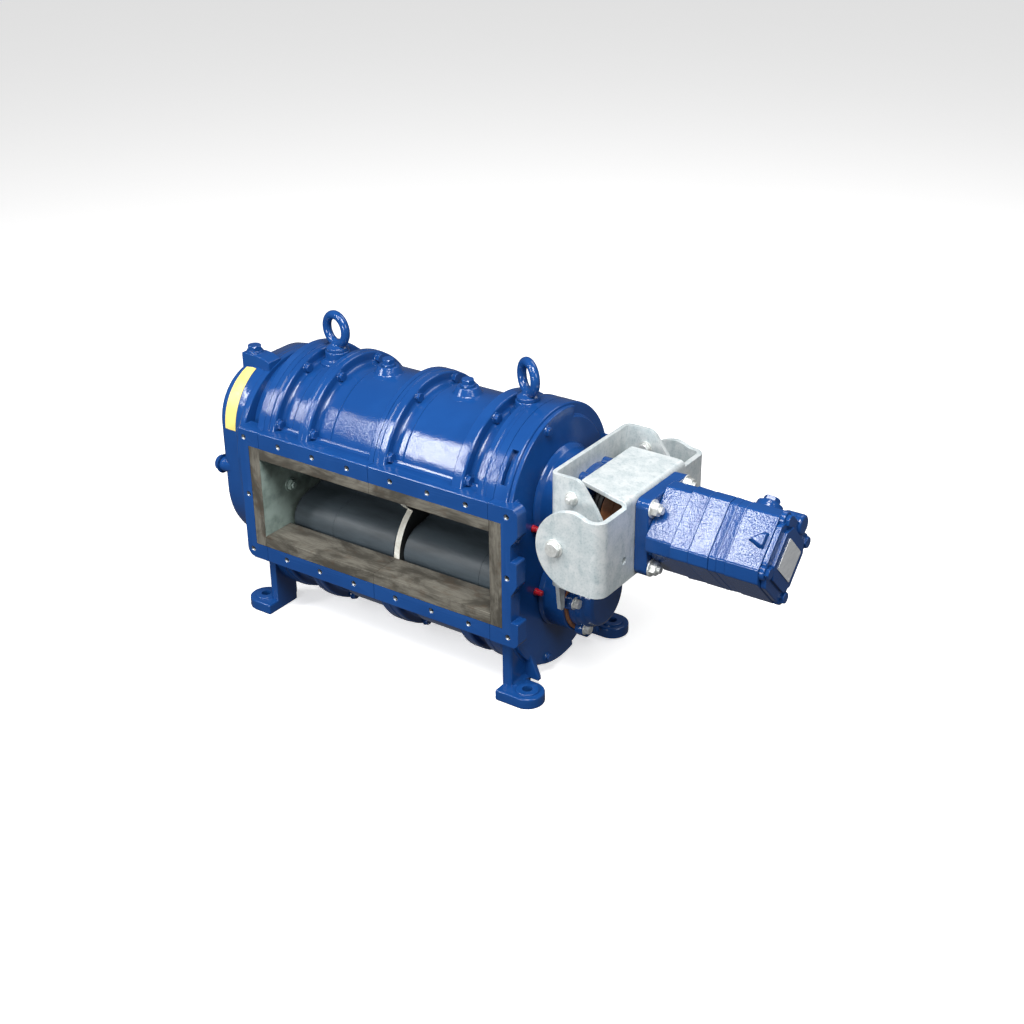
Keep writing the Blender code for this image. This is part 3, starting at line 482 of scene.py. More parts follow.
def galvanised():
    """Hot-dip zinc: soft grey clouds, faint crystals and runs."""
    work = Finish("galvanised_steel", Metallic=0.3, Roughness=0.45)
    cloud = work.noise(30, 5, 0.68, distortion=0.3)
    runs = work.noise(90, 4, 0.65, stretch=(1, 1, 0.3))
    crystal = work.cells(240)
    colour = work.mix(cloud.between(0.38, 0.66), (0.63, 0.67, 0.68), (0.43, 0.50, 0.52))
    colour = work.mix(runs.between(0.50, 0.72) * 0.65, colour, (0.30, 0.39, 0.42))
    colour = work.mix(crystal.between(0.15, 0.6) * 0.22, colour, (0.80, 0.83, 0.83))
    # Convex edges are painted near white: a painted highlight along the bends and cut edges.
    colour = work.mix(work.edges(0.54, 0.66) * 0.45, colour, (0.86, 0.90, 0.90))
    work.set("Base Color", colour)
    work.set("Roughness", cloud * 0.3 + 0.3)
    work.bump(work.noise(260, 3) + crystal * 0.4, 0.25, 0.0007)
    return work.made


zinc_sheet = galvanised()
print("metals made")

# %% [markdown]
# ### Rubber, plastics and the blank plates
# The rotors are dark grey rubber with a dull sheen and faint rub marks along their length. The label and the
# nameplate are blank here; they still get the slight print grain and dirt of real ones.

# %% Make the rest
def matt(name, colour, dark, rough=0.45, grain=60, stretch=(1, 1, 1), depth=0.0003, coat=0.0):
    work = Finish(name, Roughness=rough, Coat_Weight=coat)
    patch = work.noise(grain, 4, 0.6, stretch=stretch)
    fine = work.noise(grain * 14, 2)
    work.set("Base Color", work.mix(patch.between(0.32, 0.7), colour, dark))
    work.set("Roughness", patch * 0.2 + (rough - 0.1))
    work.bump(fine + patch * 0.8, 0.3, depth)
    return work.made


rubber = matt("moulded_lobe_rubber", (0.060, 0.080, 0.096), (0.034, 0.046, 0.056), 0.5, 30, (0.2, 1, 1))
black_iron = matt("black_coupling_iron", (0.016, 0.016, 0.018), (0.03, 0.028, 0.027), 0.5, 80)
brown_ring = matt("brown_coupling_ring", (0.34, 0.13, 0.05), (0.24, 0.085, 0.03), 0.5, 70)
gasket_brown = matt("gasket_brown", (0.30, 0.13, 0.06), (0.2, 0.08, 0.04), 0.7, 120)
red_plastic = matt("red_cap_plastic", (0.42, 0.008, 0.018), (0.28, 0.006, 0.012), 0.35, 90, coat=0.3)
label_yellow = matt("blank_yellow_label", (0.84, 0.69, 0.22), (0.78, 0.61, 0.17), 0.4, 50)
plate_white = matt("blank_motor_plate", (0.62, 0.64, 0.66), (0.52, 0.54, 0.56), 0.35, 70, (1, 1, 3))
shaft_steel = zinc("ground_shaft_steel", (0.52, 0.52, 0.51), 0.9)
print("soft finishes made")

# %% [markdown]
# ## The casings
# Four cast half shells make the pump's body: a left and a right one above the ports, and the same below.
# Each is a barrel with ring flanges. The rings, their fillets and the shallow grooves for the bolts are all
# in one profile, so the barrel is spun from it in one go. The flat rail along each port is a drawn-out
# outline with a cast fillet towards the barrel, joined to it by a Boolean.

# %% Barrels with their rings
RING_R, LOW_RING_R, SHELL_R, GROOVE_R, INSIDE_R = 0.168, 0.163, 0.150, 0.1458, 0.1303
HALF_DEPTH = 0.178
LIP_HALF, RAIL_HALF = 0.104, 0.137
CASING_END = 0.263
SPARE, SEAM = 0.004, 0.0005       # what is sawn off a shell's ends, and half the gap that shows at a seam


def barrel_profile(side, ring):
    """Closed profile (x, radius, corner) of the left or the right barrel."""
    if side == "left":
        return [(-CASING_END - SPARE, INSIDE_R, 0), (-CASING_END - SPARE, ring, 0), (-0.2515, ring, 0.001),
                (-0.2505, ring - 0.0022, 0.001), (-0.239, ring - 0.0022, 0.004), (-0.239, GROOVE_R, 0.007),
                (-0.214, GROOVE_R, 0.002), (-0.210, SHELL_R - 0.001, 0.002), (-0.181, SHELL_R - 0.001, 0.007),
                (-0.181, ring, 0.0025), (-0.170, ring, 0.001), (-0.169, ring - 0.0012, 0.001),
                (-0.157, ring - 0.0012, 0.004), (-0.157, GROOVE_R, 0.007), (-0.121, GROOVE_R, 0.003),
                (-0.115, SHELL_R, 0.003), (-0.012, SHELL_R, 0.008), (-0.012, ring, 0.0025),
                (SPARE, ring, 0), (SPARE, INSIDE_R, 0)]
    return [(-SPARE, INSIDE_R, 0), (-SPARE, ring, 0), (0.0085, ring, 0.001), (0.0095, ring - 0.0014, 0.001),
            (0.025, ring - 0.0014, 0.004), (0.025, GROOVE_R, 0.007), (0.047, GROOVE_R, 0.003),
            (0.052, SHELL_R, 0.003), (0.163, SHELL_R, 0.003), (0.165, SHELL_R + 0.002, 0.002),
            (0.172, SHELL_R + 0.002, 0.005), (0.172, ring, 0.0025), (0.196, ring, 0.004),
            (0.196, GROOVE_R, 0.007), (0.226, GROOVE_R, 0.006), (0.226, ring, 0.003), (0.238, ring, 0.001),
            (0.239, ring - 0.001, 0.001), (0.246, ring - 0.001, 0.001), (0.247, ring, 0.001),
            (CASING_END + SPARE, ring, 0), (CASING_END + SPARE, INSIDE_R, 0)]


def barrel(side, ring):
    """The profile spun from just above the front rail to just above the back one."""
    start = math.radians(9)
    return turned(f"barrel_{side}", soft(barrel_profile(side, ring), 4), (0, 0, UPPER),
                  side=(0, math.cos(start), math.sin(start)), angle=162, steps=90)


def rail(side):
    """Front rail with the fillet that runs up to the barrel."""
    fillet = 0.010
    height = RAIL_HALF + fillet - SHAFT_RISE
    reach = math.sqrt((SHELL_R + fillet) ** 2 - height ** 2)
    end = math.degrees(math.atan2(-height, reach))
    outline = (soft([(-HALF_DEPTH, PORT_Z + LIP_HALF, 0.0006), (-HALF_DEPTH, PORT_Z + RAIL_HALF, 0.0028),
                     (-reach, PORT_Z + RAIL_HALF, 0)], 4, closed=False)[:-1]
               + arc((-reach, UPPER + height), fillet, -90, end, 8)
               + [(-0.125, UPPER + 0.050), (-0.125, PORT_Z + LIP_HALF)])
    x0, x1 = (-CASING_END - SPARE, SPARE) if side == "left" else (-SPARE, CASING_END + SPARE)
    return prism(f"rail_{side}", outline, "yz", x0, x1)


def saw(shell, side):
    """Rounds the shell's edges, then saws both ends to length."""
    round_edges(shell, 0.0012, 2, 40)
    x0, x1 = (-CASING_END + SEAM, -SEAM) if side == "left" else (SEAM, CASING_END - SEAM)
    return trim(trim(shell, x0, 1), x1, -1)


print("barrel corners:", len(barrel_profile("left", RING_R)), len(barrel_profile("right", RING_R)))

# %% [markdown]
# The tapped holes in the port faces are drilled once the rails are joined on. Eight lie along each rail and
# one at each end of the opening; the end ones go into the end plates.

# %% Bosses, holes and the four shells
HOLE_ROWS = 0.119
RAIL_HOLES = {"left": (-0.2152, -0.1323, -0.0494), "right": (0.0494, 0.1323, 0.2152)}
HOLE_R = 0.0052
BOSSES = {"left": (-0.209, -0.086), "right": (0.228, 0.096)}      # lifting eye, barrel plug


def drill(places, depth=0.016):
    """Countersunk drills for the front face, joined to one cutter."""
    bits = []
    for x, z in places:
        bits.append(turned("bit", [(-0.01, 0), (-0.01, 0.0068), (0, 0.0068), (0.0011, HOLE_R), (depth, HOLE_R),
                                   (depth + 0.003, 0)], (x, -HALF_DEPTH, z), axis=(0, 1, 0), steps=24))
    bits += [flipped(bit, "bit", "y") for bit in list(bits)]
    return join("drill", *bits)


def casing_half(side):
    """Upper half shell of one side, with its bosses for the eye bolt and the plug."""
    shell = barrel(side, RING_R)
    eye_x, plug_x = BOSSES[side]
    front = rail(side)
    union(shell, flipped(front, "rail_back", "y"), front)
    eye = turned("eye_boss", soft([(0.138, 0, 0), (0.138, 0.034, 0), (0.147, 0.034, 0.003), (0.1505, 0.0245, 0.006),
                                   (0.168, 0.0235, 0.003), (0.168, 0, 0)], 4, closed=False),
                 (eye_x, 0, UPPER), axis=(0, 0, 1))
    plug_boss = turned("plug_boss", soft([(0.138, 0, 0), (0.138, 0.036, 0), (0.146, 0.036, 0.004),
                                          (0.1500, 0.0275, 0.006), (0.1635, 0.0195, 0.003), (0.1635, 0, 0)],
                                         4, closed=False), (plug_x, 0, UPPER), axis=(0, 0, 1))
    union(shell, eye, plug_boss)
    cut(shell, drill([(x, PORT_Z + HOLE_ROWS) for x in RAIL_HOLES[side]]))
    return saw(shell, side)


def low_casing_half(side):
    """Lower half shell: the same without bosses, with slightly smaller rings, turned over."""
    shell = barrel(side, LOW_RING_R)
    front = rail(side)
    union(shell, flipped(front, "rail_back", "y"), front)
    cut(shell, drill([(x, PORT_Z + HOLE_ROWS) for x in RAIL_HOLES[side]]))
    saw(shell, side)
    low_shell = flipped(shell, f"casing_shell_bottom_{side}", "z")
    bpy.data.objects.remove(shell)
    return low_shell


for side in ("left", "right"):
    shell = casing_half(side)
    shell.name = f"casing_shell_top_{side}"
    settle(shell, cast_paint, [f"casing_top_{side}"])
    settle(low_casing_half(side), cast_paint, [f"casing_bottom_{side}"])

# %% [markdown]
# The countersinks are bare steel and catch the light, so each hole gets a turned insert: a bright cone at the
# mouth and a few ridges of thread below it.

# %% Bright tapped holes
def tapped_insert():
    ridges = [(0, 0.0064), (0.0013, 0.0050)]
    for k in range(5):
        ridges += [(0.0024 + 0.0016 * k, 0.0044), (0.0032 + 0.0016 * k, 0.0049)]
    line = [(a + 0.0003, r) for a, r in ridges]
    line += [(0.0145, 0.0047), (0.0145, 0.0060), (0.0026, 0.0060), (0.0010, 0.0069), (0.0002, 0.00695)]
    return turned("tapped_insert", line, (0, 0, 0), axis=(0, 0, 1), steps=28, fill="loop")


insert = tapped_insert()
hole_places = [(x, z) for x in (-0.301, -0.2152, -0.1323, -0.0494, 0.0494, 0.1323, 0.2152, 0.301) for z in (-1, 1)]
hole_places += [(-0.3005, 0), (0.3005, 0)]
for name, sign in (("front", -1), ("back", 1)):
    twins = [copied(insert, "insert", (x, sign * HALF_DEPTH, PORT_Z + z * HOLE_ROWS), (0, -sign, 0))
             for x, z in hole_places]
    settle(join(f"tapped_holes_{name}", *twins), thread_steel, angle=25)
bpy.data.objects.remove(insert)

# %% [markdown]
# ## End plates, feet and port cheeks
# Each end plate is an oval: a profile carried over the upper shaft, down, round the lower one and up again.
# The ends of the port flange stand on it as thick cheeks, and a drilled foot hangs from every corner. The
# pocket for the wear plate is milled out last, so its edge stays crisp between the rounded castings.

# %% The oval sweep and the milled pocket
def oval(name, profile, low_z=LOWER, pull=0.0, steps=48):
    """A profile of (x, radius) carried round both centres; the rim is pulled in below by a little."""
    def rim(vert, z, sign):
        return abs(vert.co.z - z) < 1e-5 and vert.co.y * sign > 0.155

    def line(vert, z, sign):
        return abs(vert.co.z - z) < 1e-5 and vert.co.y * sign > -1e-6

    piece = draw(name, [(x, radius, UPPER) for x, radius in profile], "open")
    bpy.ops.mesh.spin(steps=steps, angle=-math.pi, center=(0, 0, UPPER), axis=(1, 0, 0))
    bpy.ops.mesh.extrude_region_move(TRANSFORM_OT_translate={"value": (0, 0, low_z - UPPER)})
    if pull:
        pick(piece, lambda vert: rim(vert, low_z, -1))
        bpy.ops.transform.translate(value=(0, pull, 0))
    pick(piece, lambda vert: line(vert, low_z, -1))
    bpy.ops.mesh.spin(steps=steps, angle=-math.pi, center=(0, 0, low_z), axis=(1, 0, 0))
    bpy.ops.mesh.extrude_region_move(TRANSFORM_OT_translate={"value": (0, 0, UPPER - low_z)})
    if pull:
        pick(piece, lambda vert: rim(vert, UPPER, 1) and vert.co.y < RING_R - pull + 1e-4)
        bpy.ops.transform.translate(value=(0, pull, 0))
    return outwards(piece)


LINER_R = 0.130


def lip_outline(radius, lip, front):
    """Both liner circles with flat lips to the two port faces."""
    low = math.degrees(math.asin((lip - SHAFT_RISE) / radius))
    return ([(front, PORT_Z + lip)] + arc((0, UPPER), radius, low, 180 - low, 60)
            + [(-front, PORT_Z + lip), (-front, PORT_Z - lip)]
            + arc((0, LOWER), radius, 180 + low, 360 - low, 60) + [(front, PORT_Z - lip)])


def mill(plate, x0, x1):
    """The pocket for the wear plate, and both shaft holes."""
    cut(plate, prism("pocket", lip_outline(LINER_R + 0.0006, LIP_HALF + 0.0003, 0.19), "yz", x0, x1))
    for z in (UPPER, LOWER):
        cut(plate, turned("hole", [(-0.4, 0), (-0.4, 0.035), (0.4, 0.035), (0.4, 0)], (0, 0, z), steps=40))
    return plate


# %% [markdown]
# The foot: a pad with a round end, a low boss round its bolt hole, a wall that carries the pump and a rib
# behind it. Small quarter-round strips in the corners stand for the sand-cast fillets.

# %% The foot
HOLE_X = {"left": 0.308, "right": 0.321}
FOOT_Y, PAD_R, PAD_T = 0.146, 0.032, 0.022
WALL_X, LEG_FRONT, LEG_BACK = (0.271, 0.290), -0.152, -0.096


def cove(name, corner, radius, plane, start, end, turn):
    """A quarter-round strip in an inner corner; turn says which quarter it fills."""
    a, b = corner
    u, v = ((1, 1), (-1, 1), (-1, -1), (1, -1))[turn]
    sink = 0.003
    line = [(a - u * sink, b - v * sink), (a + u * radius, b - v * sink)]
    for k in range(7):
        t = math.radians(15 * k)
        line.append((a + u * radius * (1 - math.sin(t)), b + v * radius * (1 - math.cos(t))))
    line.append((a - u * sink, b + v * radius))
    return prism(name, line, plane, start, end)


def foot(side):
    """Front foot of the right end plate, or its mirror image for the left one."""
    hole_x = HOLE_X[side]
    x0, x1 = WALL_X
    edge = ([(x0, -HALF_DEPTH)] + arc((hole_x, -FOOT_Y), PAD_R, -90, 90, 30)
            + [(0.296, PAD_R - FOOT_Y), (0.296, LEG_BACK), (x0, LEG_BACK)])
    pad = prism("pad", edge, "xy", 0, PAD_T)
    round_edges(pad, 0.0035, 3, 50)
    boss = turned("boss", soft([(PAD_T / 2, 0, 0), (PAD_T / 2, 0.0225, 0), (PAD_T + 0.003, 0.021, 0.0015),
                                (PAD_T + 0.003, 0, 0)], 3, closed=False), (hole_x, -FOOT_Y, 0), axis=(0, 0, 1))
    top = PORT_Z - RAIL_HALF + 0.006
    wall = prism("wall", soft([(x0, LEG_FRONT, 0.001), (x1, LEG_FRONT, 0.006), (x1, LEG_BACK, 0.004),
                               (x0, LEG_BACK, 0.001)], 4), "xy", PAD_T - 0.006, top)
    rib = prism("rib", soft([((x0 + x1) / 2, PAD_T - 0.004, 0), (0.3185, PAD_T - 0.004, 0), (0.3175, 0.026, 0.004),
                             (0.2975, 0.075, 0.03), (0.2905, 0.110, 0.002), ((x0 + x1) / 2, 0.110, 0)], 5),
                "xz", LEG_BACK - 0.010, LEG_BACK)
    round_edges(rib, 0.002, 3, 40)
    union(pad, boss, wall, rib,
          cove("cove", (x1, PAD_T), 0.008, "xz", LEG_FRONT + 0.006, LEG_BACK, 0))
    cut(pad, turned("hole", [(-0.01, 0), (-0.01, 0.0095), (0.04, 0.0095), (0.04, 0)], (hole_x, -FOOT_Y, 0),
                    axis=(0, 0, 1), steps=32))
    if side == "right":
        return pad
    mirrored = flipped(pad, "foot", "x")
    bpy.data.objects.remove(pad)
    return mirrored


# %% [markdown]
# The left end plate carries the end cover. Its cheeks have a large round corner below; the plate's outer face
# is bare casting with the same paint.

# %% Left end plate
def both_sides(piece):
    return [flipped(piece, "back_twin", "y"), piece]


x_in = CASING_END + 0.0003
plate = oval("end_plate_casting_left", soft([(-0.300, 0, 0), (-0.300, 0.139, 0.003), (-0.280, 0.139, 0.006),
                                             (-0.280, 0.168, 0.003), (SPARE - x_in, 0.168, 0), (SPARE - x_in, 0, 0)],
                                            4, closed=False), pull=RING_R - LOW_RING_R)
cheek = prism("cheek", soft([(-0.3155, PORT_Z - RAIL_HALF, 0.020), (0.009 - x_in, PORT_Z - RAIL_HALF, 0),
                             (0.009 - x_in, PORT_Z + RAIL_HALF, 0), (-0.3155, PORT_Z + RAIL_HALF, 0.004)], 8),
              "xz", -HALF_DEPTH, -0.1403)
round_edges(cheek, 0.0028, 3, 50)
union(plate, *both_sides(cheek), *both_sides(foot("left")))
trim(plate, -x_in, -1)
mill(plate, -0.290, -0.19)
cut(plate, drill([(-0.301, PORT_Z + HOLE_ROWS), (-0.3005, PORT_Z), (-0.301, PORT_Z - HOLE_ROWS)]))
round_edges(plate, 0.0012, 2, 45)
settle(plate, cast_paint, ["end_plate_left"])

# %% [markdown]
# The right end plate has a round face with a raised hub, and its cheeks end in three lugs. A slot is milled
# across its rim, and bolts stand on its face in a ring.

# %% Right end plate
plate = oval("end_plate_casting_right", soft([(x_in - SPARE, 0, 0), (x_in - SPARE, 0.168, 0), (0.292, 0.168, 0.003),
                                              (0.292, 0.146, 0.003), (0.300, 0.143, 0.003), (0.300, 0, 0)],
                                             4, closed=False), pull=RING_R - LOW_RING_R)
cheek = prism("cheek", [(x_in - 0.009, PORT_Z - RAIL_HALF), (0.305, PORT_Z - RAIL_HALF), (0.305, PORT_Z + RAIL_HALF),
                        (x_in - 0.009, PORT_Z + RAIL_HALF)], "xz", -HALF_DEPTH, -0.145)
EDGE = [(0.290, 0.137, 0), (0.324, 0.137, 0.013), (0.324, 0.085, 0.006), (0.309, 0.064, 0.010), (0.309, 0.035, 0.001),
        (0.3215, 0.035, 0.004), (0.3215, -0.012, 0.010), (0.309, -0.034, 0.010), (0.309, -0.086, 0.001),
        (0.3235, -0.086, 0.004), (0.3235, -0.137, 0.013), (0.290, -0.137, 0)]
union(cheek, prism("lugs", soft([(x, PORT_Z + z, r) for x, z, r in EDGE], 6), "xz", -HALF_DEPTH, -0.150))
round_edges(cheek, 0.003, 3, 50)
face_pad = prism("face_pad", arc((0, UPPER), 0.1637, 76, 180, 40) + arc((0, LOWER), 0.1583, 180, 284, 40)
                 + arc((0, LOWER), 0.131, 284, 180, 30) + arc((0, UPPER), 0.131, 180, 76, 30), "yz", 0.2883, 0.3001)
round_edges(face_pad, 0.0017, 3, 50)
union(plate, face_pad)
union(plate, *both_sides(cheek), *both_sides(foot("right")))
trim(plate, x_in, 1)
mill(plate, 0.19, 0.290)
cut(plate, drill([(0.301, PORT_Z + HOLE_ROWS), (0.3005, PORT_Z), (0.301, PORT_Z - HOLE_ROWS)]))
slot = turned("slot", [(0.2715, 0.1565), (0.2715, 0.18), (0.2845, 0.18), (0.2845, 0.1565)], (0, 0, UPPER),
              side=(0, math.cos(math.radians(132)), math.sin(math.radians(132))), angle=22, steps=12)
cut(plate, slot)
round_edges(plate, 0.0012, 2, 45)
settle(plate, cast_paint, ["end_plate_right"])

# %% [markdown]
# ## The end cover
# A deep pressed-looking casting with a lip. It changes its outline from the lip to the end face, so it is
# lofted: one closed line for each section, joined by bridging the edge loops, with the end faces filled.

# %% Loft the cover
def loft(name, sections):
    """Closed loops of points bridged one after the other, closed at both ends."""
    loops = []
    for points in sections:
        loops.append(draw("section", points, "loop"))
        bpy.ops.object.mode_set(mode="OBJECT")
    piece = join(name, *loops)
    bpy.ops.object.mode_set(mode="EDIT")
    bpy.ops.mesh.select_all(action="SELECT")
    bpy.ops.mesh.bridge_edge_loops(type="SINGLE")
    count = len(sections[0])
    mesh = bmesh.from_edit_mesh(piece.data)
    for vert in mesh.verts:
        vert.select = False
    for edge in mesh.edges:
        if edge.is_boundary:
            edge.select = True
    bmesh.update_edit_mesh(piece.data)
    bpy.ops.mesh.select_mode(type="EDGE")
    bpy.ops.mesh.edge_face_add()
    bpy.ops.mesh.select_mode(type="VERT")
    print(name, "bridged", len(sections), "loops of", count, "points")
    return outwards(piece)


COVER_LOW_Z = 0.240
COVER = [(-0.3158, 0.168, 0.488, 0.166, 0.158), (-0.3172, 0.170, 0.490, 0.168, 0.160),
         (-0.3272, 0.170, 0.490, 0.168, 0.160), (-0.3290, 0.1692, 0.4892, 0.1672, 0.1592),
         (-0.3310, 0.1650, 0.4882, 0.160, 0.157), (-0.3350, 0.160, 0.487, 0.148, 0.154),
         (-0.3400, 0.1545, 0.4864, 0.134, 0.152), (-0.3470, 0.150, 0.486, 0.123, 0.150),
         (-0.3560, 0.1497, 0.483, 0.116, 0.1497), (-0.3650, 0.1493, 0.480, 0.110, 0.1493),
         (-0.3730, 0.149, 0.477, 0.105, 0.149), (-0.3800, 0.1483, 0.4753, 0.101, 0.1483),
         (-0.3850, 0.1463, 0.4732, 0.098, 0.1463), (-0.3882, 0.1430, 0.4700, 0.094, 0.1430),
         (-0.3898, 0.1390, 0.4665, 0.090, 0.1390), (-0.3900, 0.1340, 0.4610, 0.086, 0.1340)]


def cover_line(x, half_width, top, corner, foot_radius):
    """One section of the cover: round foot, upright sides and two round upper corners."""
    y, z = half_width - corner, top - corner
    line = (arc((y, z), corner, 0, 90, 28) + arc((-y, z), corner, 90, 180, 28)
            + arc((0, COVER_LOW_Z), foot_radius, 180, 360, 56))
    return [(x, a, b) for a, b in line]


cover = loft("end_cover_casting", [cover_line(*section) for section in COVER])
neck = oval("neck", [(-0.322, 0), (-0.322, 0.135), (-0.3003, 0.135), (-0.3003, 0)], low_z=COVER_LOW_Z)
plug_seat = turned("plug_seat", soft([(0.455, 0, 0), (0.455, 0.0178, 0), (0.4975, 0.0174, 0.001),
                                      (0.499, 0.0160, 0.0005), (0.499, 0, 0)], 4, closed=False),
                   (-0.368, -0.058, 0), axis=(0, 0, 1), steps=48)
seat_web = prism("seat_web", soft([(-0.3870, 0.455, 0), (-0.318, 0.455, 0), (-0.318, 0.490, 0.002), (-0.336, 0.4965, 0.012),
                                   (-0.352, 0.4985, 0.006), (-0.3870, 0.4985, 0.003)], 4), "xz", -0.0755, -0.0405)
round_edges(seat_web, 0.005, 3, 50)
side_lug = turned("side_lug", soft([(0, 0, 0), (0, 0.0150, 0.001), (0.008, 0.0150, 0.003), (0.028, 0.0090, 0), (0.028, 0, 0)],
                                   4, closed=False), (-0.396, -0.140, 0.285), steps=40)
union(cover, neck, plug_seat, seat_web, side_lug)
round_edges(cover, 0.0016, 3, 42)
settle(cover, cast_paint, ["end_cover"])

# %% [markdown]
# ## Bolts, plugs and eyes
# A hexagon head is a six-sided prism whose top corners are turned off: the prism is met with a cone. It is
# modelled once at the origin, standing on +Z, and then copied to every place, each copy with its own mesh.

# %% One hexagon head, many copies
def hexagon(name, across, height, washer=None, collar=None, stud=None):
    """A head or nut on +Z: optional round collar or loose washer under it and a stud end on top."""
    reach = across / math.sqrt(3)
    base = 0.0
    extras = []
    if washer:
        radius, base = washer
        extras.append(turned("washer", soft([(0, 0, 0), (0, radius, 0.0004), (base, radius, 0.0006), (base, 0, 0)], 3,
                                            closed=False), (0, 0, 0), axis=(0, 0, 1), steps=40))
    if collar:
        radius, thick = collar
        extras.append(turned("collar", soft([(0, 0, 0), (0, radius, 0), (thick, radius * 0.93, 0.0008), (thick, 0, 0)],
                                            3, closed=False), (0, 0, 0), axis=(0, 0, 1), steps=40))
    start = base - 0.0003 if washer else 0.0004 if collar else 0.0
    head = prism(name, [(reach * math.cos(math.radians(60 * k)), reach * math.sin(math.radians(60 * k)))
                        for k in range(6)], "xy", start, base + height)
    meet(head, turned("cone", [(base - 0.01, 0), (base - 0.01, 2 * reach), (base, 2 * reach),
                               (base + height - 0.22 * reach, reach * 1.02), (base + height, reach * 0.84),
                               (base + height, 0)], (0, 0, 0), axis=(0, 0, 1), steps=48))
    if stud:
        radius, length = stud
        top = base + height
        extras.append(turned("stud", soft([(top - 0.002, 0, 0), (top - 0.002, radius, 0), (top + length, radius, 0.0012),
                                           (top + length, 0, 0)], 3, closed=False), (0, 0, 0), axis=(0, 0, 1),
                             steps=28))
    if extras:
        union(head, *extras)
    return round_edges(head, 0.0004, 2, 30)


def put(master, name, finish, at, axis, turn=0.0, replaces=(), body="base"):
    """One copy of a fastener, settled at its place."""
    return settle(copied(master, name, at, axis, turn), finish, replaces, body, 32)


ring_bolt = hexagon("ring_bolt", 0.0165, 0.0085, collar=(0.0112, 0.0020))
FACES = {"a": -0.239, "b": -0.157, "c": 0.0236, "d": 0.196}
for key, x in FACES.items():
    for k, angle in enumerate((158, 111, 69, 22)):
        a = math.radians(angle)
        y, z = 0.1540 * math.cos(a), 0.1540 * math.sin(a)
        put(ring_bolt, f"ring_bolt_top_{key}{k + 1}", cast_paint, (x, y, UPPER + z), (1, 0, 0), 17 * k)
        put(ring_bolt, f"ring_bolt_low_{key}{k + 1}", cast_paint, (x, y, LOWER - z), (1, 0, 0), 23 * k)

face_bolt = hexagon("face_bolt", 0.0150, 0.0070, collar=(0.0105, 0.0018))
for k, angle in enumerate((109, 165)):
    a = math.radians(angle)
    y, z = 0.1500 * math.cos(a), 0.1500 * math.sin(a)
    put(face_bolt, f"end_face_bolt_top_{k + 1}", cast_paint, (0.300, y, UPPER + z), (1, 0, 0), 9)
    put(face_bolt, f"end_face_bolt_low_{k + 1}", cast_paint, (0.300, y, LOWER - z * 0.965), (1, 0, 0), 9)
for used_up in (ring_bolt, face_bolt):
    bpy.data.objects.remove(used_up)

# %% [markdown]
# The plugs stand on bosses on top of the barrels and the end cover. They are painted over, so they take the
# casting's paint and their edges are soft.

# %% Hexagon plugs
fat_plug = hexagon("fat_plug", 0.022, 0.0125, collar=(0.0142, 0.0035))
side_plug = hexagon("side_plug", 0.025, 0.0125, collar=(0.0165, 0.0035))
for node in ("barrel_plug_left", "barrel_plug_right", "cover_plug"):
    low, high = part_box(node)
    middle = (low + high) / 2
    put(side_plug if node == "cover_plug" else fat_plug, f"{node}_painted", cast_paint, (middle.x - CHAMBER_X, middle.y, low.z), (0, 0, 1), 12, [node])
low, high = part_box("cover_side_bolt")
wide_plug = hexagon("wide_plug", 0.029, 0.0120, collar=(0.0195, 0.0040))
put(wide_plug, "cover_side_bolt_painted", cast_paint, (high.x - CHAMBER_X, (low.y + high.y) / 2, (low.z + high.z) / 2),
    (-1, 0, 0), 8, ["cover_side_bolt"])
for used_up in (fat_plug, side_plug, wide_plug):
    bpy.data.objects.remove(used_up)

# %% [markdown]
# The lifting eyes are forged rings on a collar. A torus gives the ring; the collar is turned with a concave
# neck, and the two are fused.

# %% Lifting eyes
for side, x, turn in (("left", -0.209, -12), ("right", 0.228, -31)):
    seat_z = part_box(f"lifting_eye_{side}")[0].z
    only()
    bpy.ops.mesh.primitive_torus_add(major_radius=0.028, minor_radius=0.0086, major_segments=72, minor_segments=28)
    eye = bpy.context.active_object
    eye.name = f"forged_eye_{side}"
    neck = turned("neck", soft([(-0.0405, 0, 0), (-0.0405, 0.0215, 0.001), (-0.0345, 0.0210, 0.003),
                                (-0.0290, 0.0125, 0.006), (-0.0225, 0.0105, 0), (-0.0225, 0, 0)], 4, closed=False),
                  (0, 0, 0), axis=(0, 0, 1), steps=56)
    eye.matrix_world = Matrix.Rotation(math.radians(90), 4, "X")
    only(eye)
    bpy.ops.object.transform_apply(location=True, rotation=True, scale=True)
    union(eye, neck)
    round_edges(eye, 0.0012, 3, 40)
    eye.matrix_world = Matrix.Translation((x, 0, seat_z + 0.0405)) @ Matrix.Rotation(math.radians(turn), 4, "Z")
    only(eye)
    bpy.ops.object.transform_apply(location=True, rotation=True, scale=True)
    settle(eye, cast_paint, [f"lifting_eye_{side}"], angle=50)

# %% [markdown]
# ## Label, liners and the wear plates
# The yellow plate is bent round the cover's front upper corner and left blank. The chamber is lined with
# separate steel half liners whose lips show in the port, with a wear plate at each end and a plate between
# the two stages. These are thick plates with barely broken edges.

# %% Blank label on the cover
def label_line(section, start, end, down, lift):
    """From the label's top end round the corner to its lower end, a little way down the upright side."""
    x, half_width, top, corner = section[:4]
    line = arc((corner - half_width, top - corner), corner + lift, start, end, 30)
    slope = math.radians(end)
    tip = (line[-1][0] - down * math.sin(slope), line[-1][1] + down * math.cos(slope))
    return [(x, a, b) for a, b in line + [tip]]


